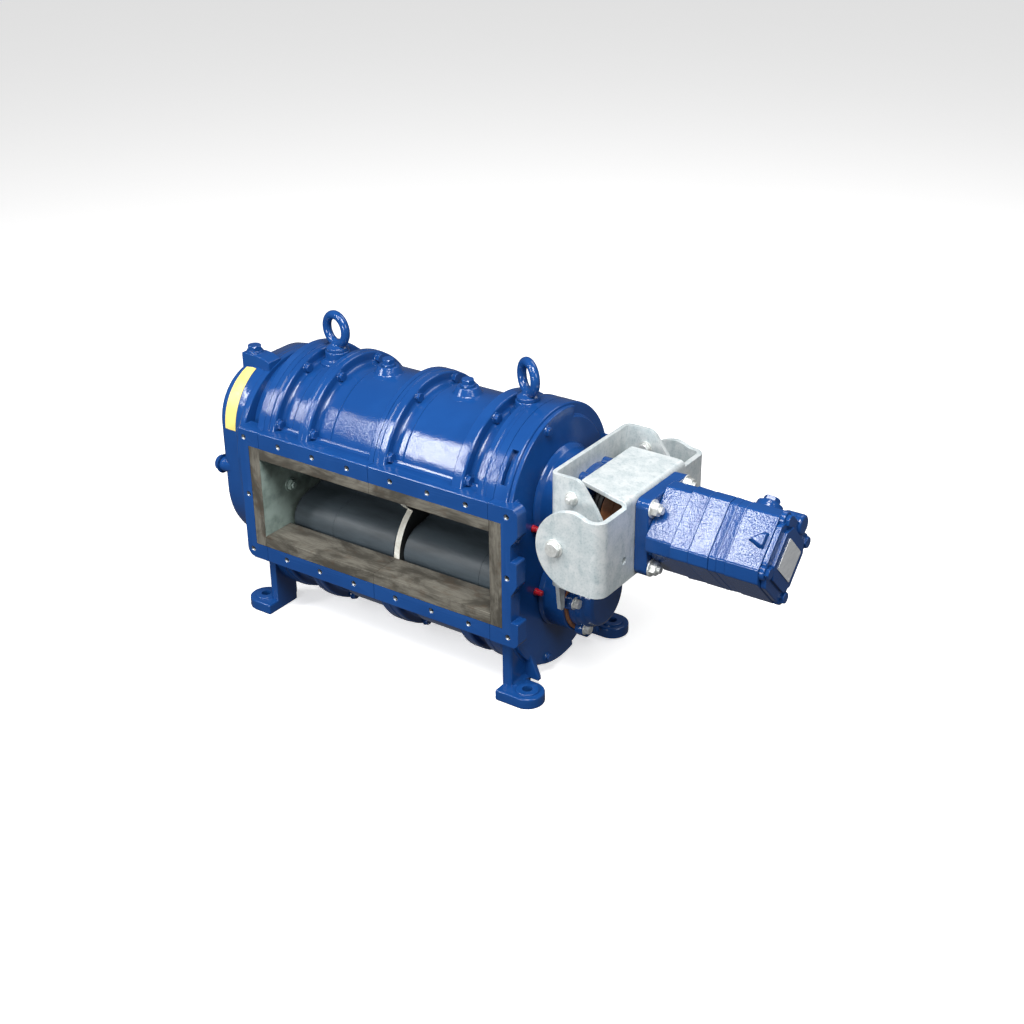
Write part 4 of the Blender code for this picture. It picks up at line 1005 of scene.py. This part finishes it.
rows = []
for section, start, end, down in ((COVER[7], 115.5, 176.7, 0.0003), (COVER[8], 113, 178.5, 0.0003),
                                  (COVER[9], 111, 180, 0.0003), (COVER[10], 109, 180, 0.0020)):
    rows.append(label_line(section, start, end, down, 0.0004) + label_line(section, start, end, down, 0.0012)[::-1])
label = loft("yellow_label_blank", rows)
settle(label, label_yellow, ["cover_plate_blank"])

# %% Liners, wear plates and middle plate
BORE_R, PORT_HALF = 0.108, 0.0815


def liner(name, x0, x1):
    """Upper half liner: a thick half bore with a lip to each port."""
    low = math.degrees(math.asin((LIP_HALF - 0.0003 - SHAFT_RISE) / LINER_R))
    bore = math.degrees(math.asin((PORT_HALF - SHAFT_RISE) / BORE_R))
    outline = ([(HALF_DEPTH, PORT_Z + PORT_HALF), (HALF_DEPTH, PORT_Z + LIP_HALF - 0.0003)]
               + arc((0, UPPER), LINER_R, low, 180 - low, 60)
               + [(-HALF_DEPTH, PORT_Z + LIP_HALF - 0.0003), (-HALF_DEPTH, PORT_Z + PORT_HALF)]
               + arc((0, UPPER), BORE_R, 180 - bore, bore, 72))
    return round_edges(prism(name, outline, "yz", x0, x1), 0.0009, 2, 50)


for side in ("left", "right"):
    low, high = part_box(f"liner_top_{side}")
    top = liner(f"chamber_liner_top_{side}", low.x - CHAMBER_X, high.x - CHAMBER_X)
    bottom = flipped(top, f"chamber_liner_bottom_{side}", "z")
    settle(top, lip_steel, [f"liner_top_{side}"])
    settle(bottom, lip_steel, [f"liner_bottom_{side}"])
    low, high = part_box(f"wear_plate_{side}")
    plate = prism(f"chamber_wear_plate_{side}", lip_outline(LINER_R, LIP_HALF - 0.0003, HALF_DEPTH), "yz",
                  low.x - CHAMBER_X, high.x - CHAMBER_X)
    for z in (UPPER, LOWER):
        cut(plate, turned("hole", [(-0.4, 0), (-0.4, 0.035), (0.4, 0.035), (0.4, 0)], (0, 0, z), steps=40))
    round_edges(plate, 0.0009, 2, 50)
    settle(plate, wall_steel if side == "left" else right_steel, [f"wear_plate_{side}"])

low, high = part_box("middle_plate")
waist = math.degrees(math.asin(SHAFT_RISE / (BORE_R - 0.0003)))
eight = (arc((0, UPPER), BORE_R - 0.0003, -waist, 180 + waist, 80)[:-1]
         + arc((0, LOWER), BORE_R - 0.0003, 180 - waist, 360 + waist, 80)[:-1])
middle = prism("stage_middle_plate", eight, "yz", low.x - CHAMBER_X, high.x - CHAMBER_X)
for z in (UPPER, LOWER):
    cut(middle, turned("hole", [(-0.4, 0), (-0.4, 0.035), (0.4, 0.035), (0.4, 0)], (0, 0, z), steps=40))
round_edges(middle, 0.001, 2, 50)
settle(middle, middle_steel, ["middle_plate"])

# %% [markdown]
# One screw head stands on the left wear plate, clear of the rotors.

# %% The screw on the left wall
wall_screw = hexagon("wall_screw_master", 0.019, 0.007, washer=(0.0140, 0.0018), stud=(0.0060, 0.004))
put(wall_screw, "wall_screw", wall_steel, (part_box("wear_plate_left")[1].x - CHAMBER_X - 0.0002, -0.0990, 0.2590),
    (1, 0, 0), 12)
bpy.data.objects.remove(wall_screw)

# %% [markdown]
# ## Rotors
# Each rotor is a three-lobed bar of rubber. Its outline is a cosine wave round the shaft, lofted from end to
# end, with rounded ends and one fine mould line. They ride on the two shafts, which turn against each other.

# %% Loft the rotors
def lobed_line(x, centre_z, phase, shrink):
    points = []
    for i in range(144):
        t = 2 * math.pi * i / 144
        r = 0.0855 + 0.0175 * math.cos(3 * (t - phase)) - shrink
        points.append((x, r * math.cos(t), centre_z + r * math.sin(t)))
    return points


MOULD_LINE = {"left": -0.160, "right": 0.185}
for which, centre_z, phase in (("upper", UPPER, 252), ("lower", LOWER, 168)):
    for side in ("left", "right"):
        low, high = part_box(f"rotor_{which}_{side}")
        x0, x1, line = low.x - CHAMBER_X, high.x - CHAMBER_X, MOULD_LINE[side]
        cuts = [(x0, 0.0025), (x0 + 0.0007, 0.0010), (x0 + 0.0025, 0), (line - 0.0008, 0), (line - 0.0003, 0.0006),
                (line + 0.0003, 0.0006), (line + 0.0008, 0), (x1 - 0.0025, 0), (x1 - 0.0007, 0.0010), (x1, 0.0025)]
        rotor = loft(f"rubber_rotor_{which}_{side}",
                     [lobed_line(x, centre_z, math.radians(phase), shrink) for x, shrink in cuts])
        cut(rotor, turned("bore", [(-0.4, 0), (-0.4, 0.0303), (0.4, 0.0303), (0.4, 0)], (0, 0, centre_z), steps=48))
        settle(rotor, rubber, [f"rotor_{which}_{side}"], f"rotor_{which}")

# %% [markdown]
# ## The drive end
# Bearing housings, the lobed bearing cover and the stepped cap of the lower shaft are all turned parts, with
# the bolt lobes joined on. The upper shaft passes through, so its housing and cover are rings.

# %% Bearing housings, bearing cover and cap
HOUSING_END, LOWER_END = 0.3547, 0.352
wall = 0.3003


def ring(name, corners, z, steps=72):
    """A turned ring or disc about one shaft."""
    return turned(name, soft(corners, 4, closed=corners[0][1] > 0), (0, 0, z), steps=steps,
                  fill="loop" if corners[0][1] > 0 else "open")


housing = ring("bearing_casting_upper", [(wall, 0.0305, 0), (wall, 0.097, 0.001), (0.304, 0.096, 0.003), (0.312, 0.090, 0.006),
                                         (HOUSING_END, 0.0865, 0.0015), (HOUSING_END, 0.0305, 0)], UPPER)
settle(housing, cast_paint, ["bearing_housing_upper"])
housing = ring("bearing_casting_lower", [(wall, 0.0305, 0), (wall, 0.082, 0.001), (0.304, 0.082, 0.002), (0.309, 0.078, 0.004),
                                         (LOWER_END, 0.078, 0.0015), (LOWER_END, 0.0305, 0)], LOWER)
settle(housing, cast_paint, ["bearing_housing_lower"])
seal = ring("cap_gasket", [(0.3523, 0.036, 0), (0.3523, 0.0735, 0.0004), (0.3534, 0.0735, 0.0004), (0.3536, 0.0715, 0),
                           (0.3547, 0.0715, 0), (0.3549, 0.0740, 0.0004), (0.356, 0.0740, 0.0004), (0.356, 0.036, 0)],
            LOWER)
settle(seal, gasket_brown, ["lower_gasket"])

COVER_START = 0.3630
lobes = []
for k in range(6):
    angle = math.radians(60 * k)
    lobes.append(turned("lobe", soft([(COVER_START + 0.0002, 0, 0), (COVER_START + 0.0002, 0.0125, 0), (0.3775, 0.0125, 0.002),
                                      (0.3775, 0, 0)], 4, closed=False),
                        (0, 0.0735 * math.cos(angle), UPPER + 0.0735 * math.sin(angle)), steps=32))
lobed = ring("bearing_cover_casting", [(COVER_START, 0.0355, 0), (COVER_START, 0.076, 0), (0.3775, 0.076, 0.003),
                                       (0.3807, 0.066, 0.003), (0.3807, 0.0355, 0.002)], UPPER)
union(lobed, *lobes)
round_edges(lobed, 0.0015, 3, 40)
settle(lobed, cast_paint, ["bearing_cover"])

CAP_START = 0.3563
cap = ring("lower_cap_casting", [(CAP_START, 0, 0), (CAP_START, 0.067, 0), (CAP_START + 0.010, 0.067, 0.002),
                                 (CAP_START + 0.012, 0.064, 0.001), (CAP_START + 0.024, 0.064, 0.004),
                                 (CAP_START + 0.027, 0.058, 0.002), (CAP_START + 0.039, 0.056, 0.004),
                                 (CAP_START + 0.042, 0.049, 0.003), (CAP_START + 0.042, 0, 0)], LOWER)
CAP_LUGS = [math.radians(172 + 72 * k) for k in range(5)]
for angle in CAP_LUGS:
    union(cap, turned("lug", soft([(CAP_START, 0, 0), (CAP_START, 0.0145, 0), (CAP_START + 0.014, 0.0135, 0.002),
                                   (CAP_START + 0.014, 0, 0)], 3, closed=False),
                      (0, 0.068 * math.cos(angle), LOWER + 0.068 * math.sin(angle)), steps=32))
round_edges(cap, 0.0022, 3, 38)
settle(cap, cast_paint, ["lower_cap"])

# %% [markdown]
# ## The galvanised brackets
# The inner bracket is a bent plate bolted to the bearing housing; the outer one carries the motor and swings
# on two pivot bolts. Seen from above each is a U, so the U is drawn with round bends, drawn out upwards, and
# then cut to its side outline by an intersection. The lid of the outer bracket is folded the same way.

# %% Bend the brackets
PIVOT_X = 0.399


def channel(name, web_out, web_in, ear_end, outer_y, thick, bend, low, high):
    """A U of plate: the web across, an ear along each side, with round bends."""
    toward = 1 if ear_end > web_out else -1
    inner_y = outer_y - thick
    line = soft([(ear_end, -outer_y, 0), (web_out, -outer_y, bend + thick), (web_out, outer_y, bend + thick),
                 (ear_end, outer_y, 0), (ear_end, inner_y, 0), (web_in, inner_y, bend), (web_in, -inner_y, bend),
                 (ear_end, -inner_y, 0)], 7)
    print(name, "opens towards", "+x" if toward > 0 else "-x")
    return prism(name, line, "xy", low, high)


inner = channel("inner_bracket_plate", 0.355, 0.363, 0.470, 0.126, 0.008, 0.006, UPPER - 0.108, UPPER + 0.108)
ear_shape = soft([(0.345, -0.108, 0), (0.400, -0.108, 0.004), (0.412, -0.088, 0.012), (0.440, -0.030, 0.03),
                  (0.4645, 0.030, 0.004), (0.447, 0.062, 0.003), (0.4140, 0.108, 0.022), (0.345, 0.108, 0)], 7)
meet(inner, prism("ear", [(x, UPPER + z) for x, z in ear_shape], "xz", -0.2, 0.2))
prong = prism("prong", soft([(-0.110, 0.250, 0), (-0.103, 0.200, 0.02), (-0.100, 0.178, 0.005), (-0.089, 0.178, 0.005),
                             (-0.089, 0.250, 0)], 4), "yz", 0.3552, 0.3628)
union(inner, *both_sides(prong))
window = turned("window", [(0.34, 0), (0.34, 0.050), (0.37, 0.050), (0.37, 0)], (0, 0, UPPER), steps=48)
pivots = turned("pivots", [(-0.3, 0), (-0.3, 0.0085), (0.3, 0.0085), (0.3, 0)], (PIVOT_X, 0, UPPER), axis=(0, 1, 0),
                steps=32)
ear_holes = turned("ear_holes", [(-0.3, 0), (-0.3, 0.0055), (0.3, 0.0055), (0.3, 0)], (0.400, 0, UPPER + 0.072),
                   axis=(0, 1, 0), steps=24)
cut(inner, window, pivots, ear_holes)
round_edges(inner, 0.0011, 3, 40)
settle(inner, zinc_sheet, ["inner_bracket"])

outer = channel("outer_bracket_plate", 0.491, 0.481, 0.350, HALF_DEPTH, 0.010, 0.013, UPPER - 0.0745, UPPER + 0.0745)
end_x = 0.361 + 0.0745
side_shape = ([(0.50, -0.0745), (0.50, 0.0655), (0.4680, 0.0655), (0.4600, 0.0662), (0.4480, 0.0715)]
              + arc((end_x, 0), 0.0745, 90, 270, 40))
meet(outer, prism("side", [(x, UPPER + z) for x, z in side_shape], "xz", -0.2, 0.2))
window = turned("window", [(0.47, 0), (0.47, 0.040), (0.50, 0.040), (0.50, 0)], (0, 0, UPPER), steps=48)
pivots = turned("pivots", [(-0.3, 0), (-0.3, 0.0085), (0.3, 0.0085), (0.3, 0)], (PIVOT_X, 0, UPPER), axis=(0, 1, 0),
                steps=32)
small_hole = turned("small_hole", [(0.47, 0), (0.47, 0.0065), (0.50, 0.0065), (0.50, 0)], (0, -0.1046, 0.3192),
                    steps=32)
cut(outer, window, pivots, small_hole)
round_edges(outer, 0.0013, 3, 40)
lid = prism("lid", [(x, UPPER + z) for x, z in soft([(0.4909, 0.058, 0), (0.4909, 0.0765, 0.012), (0.391, 0.0865, 0),
                                                      (0.3902, 0.0785, 0), (0.4812, 0.0690, 0.004), (0.4812, 0.058, 0)], 6)],
            "xz", -0.130, 0.130)
meet(lid, prism("lid_shape", soft([(0.50, -0.100, 0), (0.50, 0.100, 0), (0.470, 0.0975, 0.006), (0.391, 0.083, 0.004),
                                   (0.391, -0.083, 0.004), (0.470, -0.0975, 0.006)], 5), "xy", 0.3, 0.5))
round_edges(lid, 0.0012, 3, 40)
union(outer, lid)
settle(outer, zinc_sheet, ["outer_bracket"])

# %% [markdown]
# ## The hydraulic motor
# It stands on its corner: eight-sided segments bolted one behind the other, with soft corners and a groove at
# each joint. The end cover has four bolts and a blank nameplate, and the oil port points up and back.

# %% Motor segments
def eight_sided(t, n, corner):
    """A square on its corner with the four corners cut to narrow faces, all edges rounded."""
    h = n / 2
    points = [(h, t), (-h, t), (-t, h), (-t, -h), (-h, -t), (h, -t), (t, -h), (t, h)]
    return soft([(y, UPPER + z, corner) for y, z in points], 4)


def segment(name, x0, x1, t, n, corner=0.006, edge=0.002, draft=1.0):
    """One casting of the motor; draft below 1 tapers it towards the tail."""
    piece = prism(name, eight_sided(t, n, corner), "yz", x0, x1)
    if draft != 1.0:
        only(piece)
        bpy.ops.object.mode_set(mode="EDIT")
        pick(piece, lambda vert: vert.co.x > x1 - 1e-4)
        bpy.ops.transform.resize(value=(1, draft, draft), center_override=(x1, 0, UPPER))
        bpy.ops.object.mode_set(mode="OBJECT")
    return round_edges(piece, edge, 3, 60)


flange = prism("motor_flange_plate", soft([(-0.0725, UPPER - 0.0725, 0.016), (0.0725, UPPER - 0.0725, 0.016),
                                           (0.0725, UPPER + 0.0725, 0.016), (-0.0725, UPPER + 0.0725, 0.016)], 8),
               "yz", 0.4913, 0.517)
round_edges(flange, 0.0022, 3, 60)
settle(flange, smooth_paint, ["motor_flange"])

body = segment("motor_casting_front", 0.5173, 0.5665, 0.081, 0.026)
union(body, segment("gear", 0.5655, 0.600, 0.0845, 0.022, draft=0.980), segment("gear", 0.5994, 0.6370, 0.0835, 0.022))
settle(body, smooth_paint, ["motor_body"])

block = segment("motor_casting_rear", 0.6373, 0.652, 0.083, 0.025, draft=0.988)
union(block, segment("mid", 0.6514, 0.668, 0.082, 0.025, draft=0.988), segment("tail", 0.6672, 0.728, 0.082, 0.026))
diagonal = Vector((0, 1, 1)).normalized()
boss_at = Vector((0.676, 0.045, UPPER + 0.045))
boss = turned("port_boss", soft([(0, 0, 0), (0, 0.025, 0), (0.014, 0.0235, 0.004), (0.022, 0.0225, 0.002), (0.022, 0, 0)],
                                4, closed=False), boss_at, axis=diagonal, steps=48)
bulge = turned("bulge", soft([(0.700, 0, 0), (0.704, 0.018, 0.006), (0.728, 0.018, 0), (0.728, 0, 0)], 4, closed=False),
               (0, 0.056, UPPER + 0.040), steps=40)
union(block, boss, bulge)
round_edges(block, 0.0014, 2, 45)
settle(block, smooth_paint, ["motor_valve_block"])

END_OUTLINE = ((0.0225, 0.071), (-0.0225, 0.071), (-0.071, 0.0225), (-0.071, -0.0225),
               (-0.0225, -0.071), (0.009, -0.071), (0.071, -0.009), (0.071, 0.0225))
END_BOLTS = ((0, 0.072), (0, -0.072), (0.074, 0), (-0.065, 0.004))
end = prism("motor_end_casting", soft([(a, UPPER + b, 0.008) for a, b in END_OUTLINE], 5), "yz", 0.7283, 0.738)
round_edges(end, 0.0018, 3, 60)
seat = segment("seat", 0.736, 0.7435, 0.056, 0.024, 0.005, 0.0012)
bulge = turned("bulge", soft([(0.7283, 0, 0), (0.7283, 0.018, 0), (0.742, 0.018, 0.005), (0.742, 0, 0)], 4,
                             closed=False), (0, 0.056, UPPER + 0.040), steps=40)
lugs = [turned("lug", soft([(0.7283, 0, 0), (0.7283, 0.0150, 0), (0.7365, 0.0142, 0.002), (0.7365, 0, 0)], 3,
                           closed=False), (0, y, UPPER + z), steps=32) for y, z in END_BOLTS]
union(end, seat, bulge, *lugs)
round_edges(end, 0.0012, 2, 45)
settle(end, smooth_paint, ["motor_end_cover"])

# %% [markdown]
# The port plug stands on the motor's upper rear face. A small wedge is cast on the front face, and the
# nameplate is a blank sheet held by four drive rivets.

# %% Port plug, wedge and nameplate
low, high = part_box("motor_port_plug")
oil_plug = hexagon("oil_plug", 0.026, 0.0105, collar=(0.0165, 0.003))
put(oil_plug, "motor_port_plug_painted", smooth_paint, boss_at + diagonal * 0.0223, diagonal, 10, ["motor_port_plug"])
bpy.data.objects.remove(oil_plug)

front = Vector((0, -1, 1)).normalized()
across = Vector((0, 1, 1)).normalized()
wedge = draw("motor_wedge", [(-0.018, 0.004, 0), (0.004, -0.017, 0), (0.0145, -0.017, 0), (0.0145, 0.014, 0),
                             (0.006, 0.014, 0)])
bpy.ops.mesh.extrude_region_move(TRANSFORM_OT_translate={"value": (0, 0, 0.0115)})
bpy.ops.transform.resize(value=(0.72, 0.62, 1), center_override=(0.010, 0.000, 0.0115))
outwards(wedge)
round_edges(wedge, 0.0018, 3, 30)
face_depth = (0.082 + 0.013) / math.sqrt(2)
wedge.matrix_world = (Matrix.Translation(Vector((0.708, 0, UPPER)) + front * (face_depth - 0.0015) + across * 0.001)
                      @ Matrix((Vector((1, 0, 0)), -across, front)).transposed().to_4x4())
only(wedge)
bpy.ops.object.transform_apply(location=True, rotation=True, scale=True)
bpy.ops.object.mode_set(mode="EDIT")
outwards(wedge)
settle(wedge, smooth_paint)

low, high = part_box("motor_plate_blank")
turn = Matrix.Rotation(math.radians(45), 2)
corners = [turn @ Vector(corner) for corner in ((-0.0285, -0.033), (0.0285, -0.033), (0.0285, 0.033), (-0.0285, 0.033))]
name_plate = prism("motor_nameplate_blank", soft([(c.x, UPPER + c.y, 0.003) for c in corners], 4), "yz",
                   low.x - CHAMBER_X, high.x - CHAMBER_X - 0.0006)
round_edges(name_plate, 0.0003, 2, 40)
rivets = []
for corner in corners:
    spot = corner * 0.84
    rivets.append(turned("rivet", [(0, 0), (0, 0.0018), (0.0004, 0.0016), (0.0007, 0.0009), (0.0008, 0)],
                         (high.x - CHAMBER_X - 0.0008, spot.x, UPPER + spot.y), steps=20))
union(name_plate, *rivets)
settle(name_plate, plate_white, ["motor_plate_blank"])

# %% [markdown]
# ## Zinc fasteners and the coupling
# The brackets, the cap and the motor are held by zinc-plated bolts, brighter than anything round them. The
# coupling hides behind the lid: a black hub on the upper shaft and a brown ring, which turn with it.

# %% Zinc bolts
pivot_head = hexagon("pivot_head", 0.024, 0.0085, washer=(0.0165, 0.0022))
pivot_nut = hexagon("pivot_nut", 0.024, 0.0080, washer=(0.0150, 0.0018))
for side, sign in (("front", -1), ("back", 1)):
    sleeve = turned("sleeve", soft([(0.1185, 0, 0), (0.1185, 0.008, 0), (0.1265, 0.008, 0), (0.1265, 0.014, 0.001),
                                    (0.1675, 0.014, 0.001), (0.1675, 0.008, 0), (0.1780, 0.008, 0), (0.1780, 0, 0)],
                                   3, closed=False), (PIVOT_X, 0, UPPER), axis=(0, sign, 0), steps=40)
    head = copied(pivot_head, "head", (PIVOT_X, sign * 0.1782, UPPER), (0, sign, 0), 14)
    nut = copied(pivot_nut, "nut", (PIVOT_X, sign * 0.1177, UPPER), (0, -sign, 0), 5)
    whole = join(f"pivot_bolt_zinc_{side}", sleeve, head, nut)
    settle(whole, zinc_steel, [f"pivot_bolt_{side}"])

small_bolt = hexagon("small_bolt", 0.0165, 0.0090, washer=(0.0125, 0.0020))
ear_nut = hexagon("ear_nut", 0.0165, 0.0085, washer=(0.0125, 0.0020), stud=(0.0048, 0.004))
for side, sign in (("front", -1), ("back", 1)):
    put(ear_nut, f"ear_nut_{side}", zinc_steel, (0.400, sign * 0.1262, UPPER + 0.072), (0, sign, 0), 20)
    put(small_bolt, f"ear_bolt_{side}", zinc_steel, (0.400, sign * 0.1178, UPPER + 0.072), (0, -sign, 0), 5)
cap_bolt = hexagon("cap_bolt", 0.0165, 0.0090, washer=(0.0120, 0.0020))
for k, angle in enumerate(CAP_LUGS):
    put(cap_bolt, f"cap_bolt_{k + 1}", zinc_steel, (CAP_START + 0.014, 0.068 * math.cos(angle),
                                                    LOWER + 0.068 * math.sin(angle)), (1, 0, 0), 11 * k)
for k in range(6):
    angle = math.radians(60 * k)
    put(small_bolt, f"bearing_cover_bolt_{k + 1}", cast_paint,
        (0.3775, 0.0735 * math.cos(angle), UPPER + 0.0735 * math.sin(angle)), (1, 0, 0), 7 * k)
motor_nut = hexagon("motor_nut", 0.022, 0.0110, washer=(0.0165, 0.0026), stud=(0.0068, 0.006))
for k, (sy, sz) in enumerate(((-1, 1), (1, 1), (1, -1), (-1, -1))):
    put(motor_nut, f"motor_nut_{k + 1}", zinc_steel, (0.517, sy * 0.0565, UPPER + sz * 0.0562), (1, 0, 0), 13 * k)
end_bolt = hexagon("end_bolt", 0.0190, 0.0070)
for k, (y, z) in enumerate(END_BOLTS):
    put(end_bolt, f"motor_end_bolt_{k + 1}", smooth_paint, (0.7364, y, UPPER + z), (1, 0, 0), 9 * k)
for used_up in (pivot_head, pivot_nut, small_bolt, ear_nut, cap_bolt, motor_nut, end_bolt):
    bpy.data.objects.remove(used_up)

# %% Red caps and the coupling
for name in ("red_cap_upper", "red_cap_lower"):
    low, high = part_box(name)
    at = (low.x - CHAMBER_X, (low.y + high.y) / 2 + 0.003, (low.z + high.z) / 2)
    length = high.x - low.x
    soft_cap = turned(f"{name}_plastic", soft([(0, 0, 0), (0, 0.0068, 0.0005), (0.003, 0.0068, 0.0005),
                                               (0.004, 0.0056, 0.0005), (length - 0.001, 0.0052, 0.002), (length, 0.0026, 0.001),
                                               (length, 0, 0)], 3, closed=False), at, steps=28)
    settle(soft_cap, red_plastic, [name])

low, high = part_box("coupling_hub")
hub = turned("coupling_hub_iron", soft([(0.390, 0.0303, 0), (0.390, 0.050, 0.001), (0.394, 0.052, 0.001),
                                        (0.3985, 0.052, 0.001), (0.3995, 0.0495, 0.0005), (0.4015, 0.0495, 0.0005),
                                        (0.4025, 0.052, 0.001), (0.4080, 0.052, 0.001), (0.4080, 0.0303, 0)], 3),
             (0, 0, UPPER), steps=72, fill="loop")
settle(hub, black_iron, ["coupling_hub"], "rotor_upper")
low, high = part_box("coupling_ring")
disc = turned("coupling_ring_brown", soft([(0.4200, 0, 0), (0.4200, 0.0303, 0), (0.4085, 0.0303, 0),
                                           (0.4085, 0.0505, 0.001), (0.4290, 0.0505, 0.001), (0.4300, 0.0492, 0.0005),
                                           (0.4320, 0.0492, 0.0005), (0.4330, 0.0505, 0.001), (0.4663, 0.0505, 0.003),
                                           (0.4703, 0.016, 0.003), (0.4980, 0.016, 0.001), (0.4980, 0, 0)], 3,
                                          closed=False), (0, 0, UPPER), steps=72)
settle(disc, brown_ring, ["coupling_ring"], "rotor_upper")
for name in ("shaft_upper", "shaft_lower"):
    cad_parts[name].data.materials.clear()
    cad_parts[name].data.materials.append(shaft_steel)

# %% [markdown]
# ## The studio
# A pale floor that melts into the background, one tall soft lamp at the left front that draws the streaks on
# the barrels and the motor, a broad fill from above, and the camera at the photograph's angle.

# %% Floor, lamps and camera
def area(name, azimuth, elevation, distance, size, power, height=None, lean=0):
    """A soft lamp that looks at the pump; azimuth 0 is straight in front and turns to the left below 0."""
    a, e = math.radians(azimuth), math.radians(elevation)
    target = Vector((0, 0, 0.3))
    place = target + distance * Vector((math.sin(a) * math.cos(e), -math.cos(a) * math.cos(e), math.sin(e)))
    only()
    bpy.ops.object.light_add(type="AREA", location=place)
    lamp = bpy.context.active_object
    lamp.name = name
    lamp.data.shape = "RECTANGLE"
    lamp.data.size = size
    lamp.data.size_y = height or size
    lamp.data.energy = power
    lamp.rotation_euler = ((target - place).to_track_quat("-Z", "Y")
                           @ Quaternion((0, 0, 1), math.radians(lean))).to_euler()
    return lamp


only()
bpy.ops.mesh.primitive_plane_add(size=1, location=(0, 0, 0))
floor = bpy.context.active_object
floor.name = "studio_floor"
floor.scale = (60, 60, 1)
bpy.ops.object.transform_apply(location=False, rotation=False, scale=True)
ground = Finish("pale_floor", Roughness=0.8, Emission_Strength=0.6)
ground.set("Base Color", ground.mix(ground.noise(3, 2), (0.90, 0.90, 0.90), (0.92, 0.92, 0.92)))
ground.set("Emission Color", (1.0, 1.0, 1.0))
floor.data.materials.append(ground.made)
floor.visible_glossy = False            # the paint should mirror the lamps, not the white paper
floor.visible_diffuse = False

bpy.context.scene.view_settings.view_transform = "Standard"
sky = bpy.data.worlds.new("studio")
bpy.context.scene.world = sky
sky.use_nodes = True
seen = sky.node_tree.nodes.new("ShaderNodeLightPath").outputs["Is Camera Ray"]
strength = Wire(sky.node_tree, seen) * 0.88 + 0.12
plug(sky.node_tree, sky.node_tree.nodes["Background"].inputs["Strength"], strength)
sky.node_tree.nodes["Background"].inputs["Color"].default_value = (1, 1, 1, 1)

area("tall_softbox", -40, 32, 2.6, 0.26, 24, 1.25, lean=25)
area("left_strip", -52, 29, 2.6, 0.06, 7, 0.95, lean=25)
area("motor_softbox", -25.5, 57.0, 2.6, 0.42, 11, 0.27)
area("camera_fill", 34, 60, 3.0, 1.3, 105)
area("side_fill", 75, 30, 3.0, 1.0, 25)
area("low_fill", -4, 8, 3.0, 1.2, 32, 0.5)
area("back_fill", 165, 55, 3.2, 1.6, 24)

only()
bpy.ops.object.camera_add(location=(1.55195, -2.196, 1.6416))
camera = bpy.context.active_object
azimuth, elevation, roll = math.radians(34.846), math.radians(26.917), math.radians(-0.6255)
back = Vector((math.sin(azimuth) * math.cos(elevation), -math.cos(azimuth) * math.cos(elevation), math.sin(elevation)))
level = Vector((math.cos(azimuth), math.sin(azimuth), 0))
rise = back.cross(level)
right = math.cos(roll) * level + math.sin(roll) * rise
up = -math.sin(roll) * level + math.cos(roll) * rise
camera.matrix_world = Matrix.Translation(camera.location) @ Matrix((right, up, back)).transposed().to_4x4()
camera.data.sensor_width = 36
camera.data.lens = 1635.43 / 1024 * 36
bpy.context.scene.camera = camera
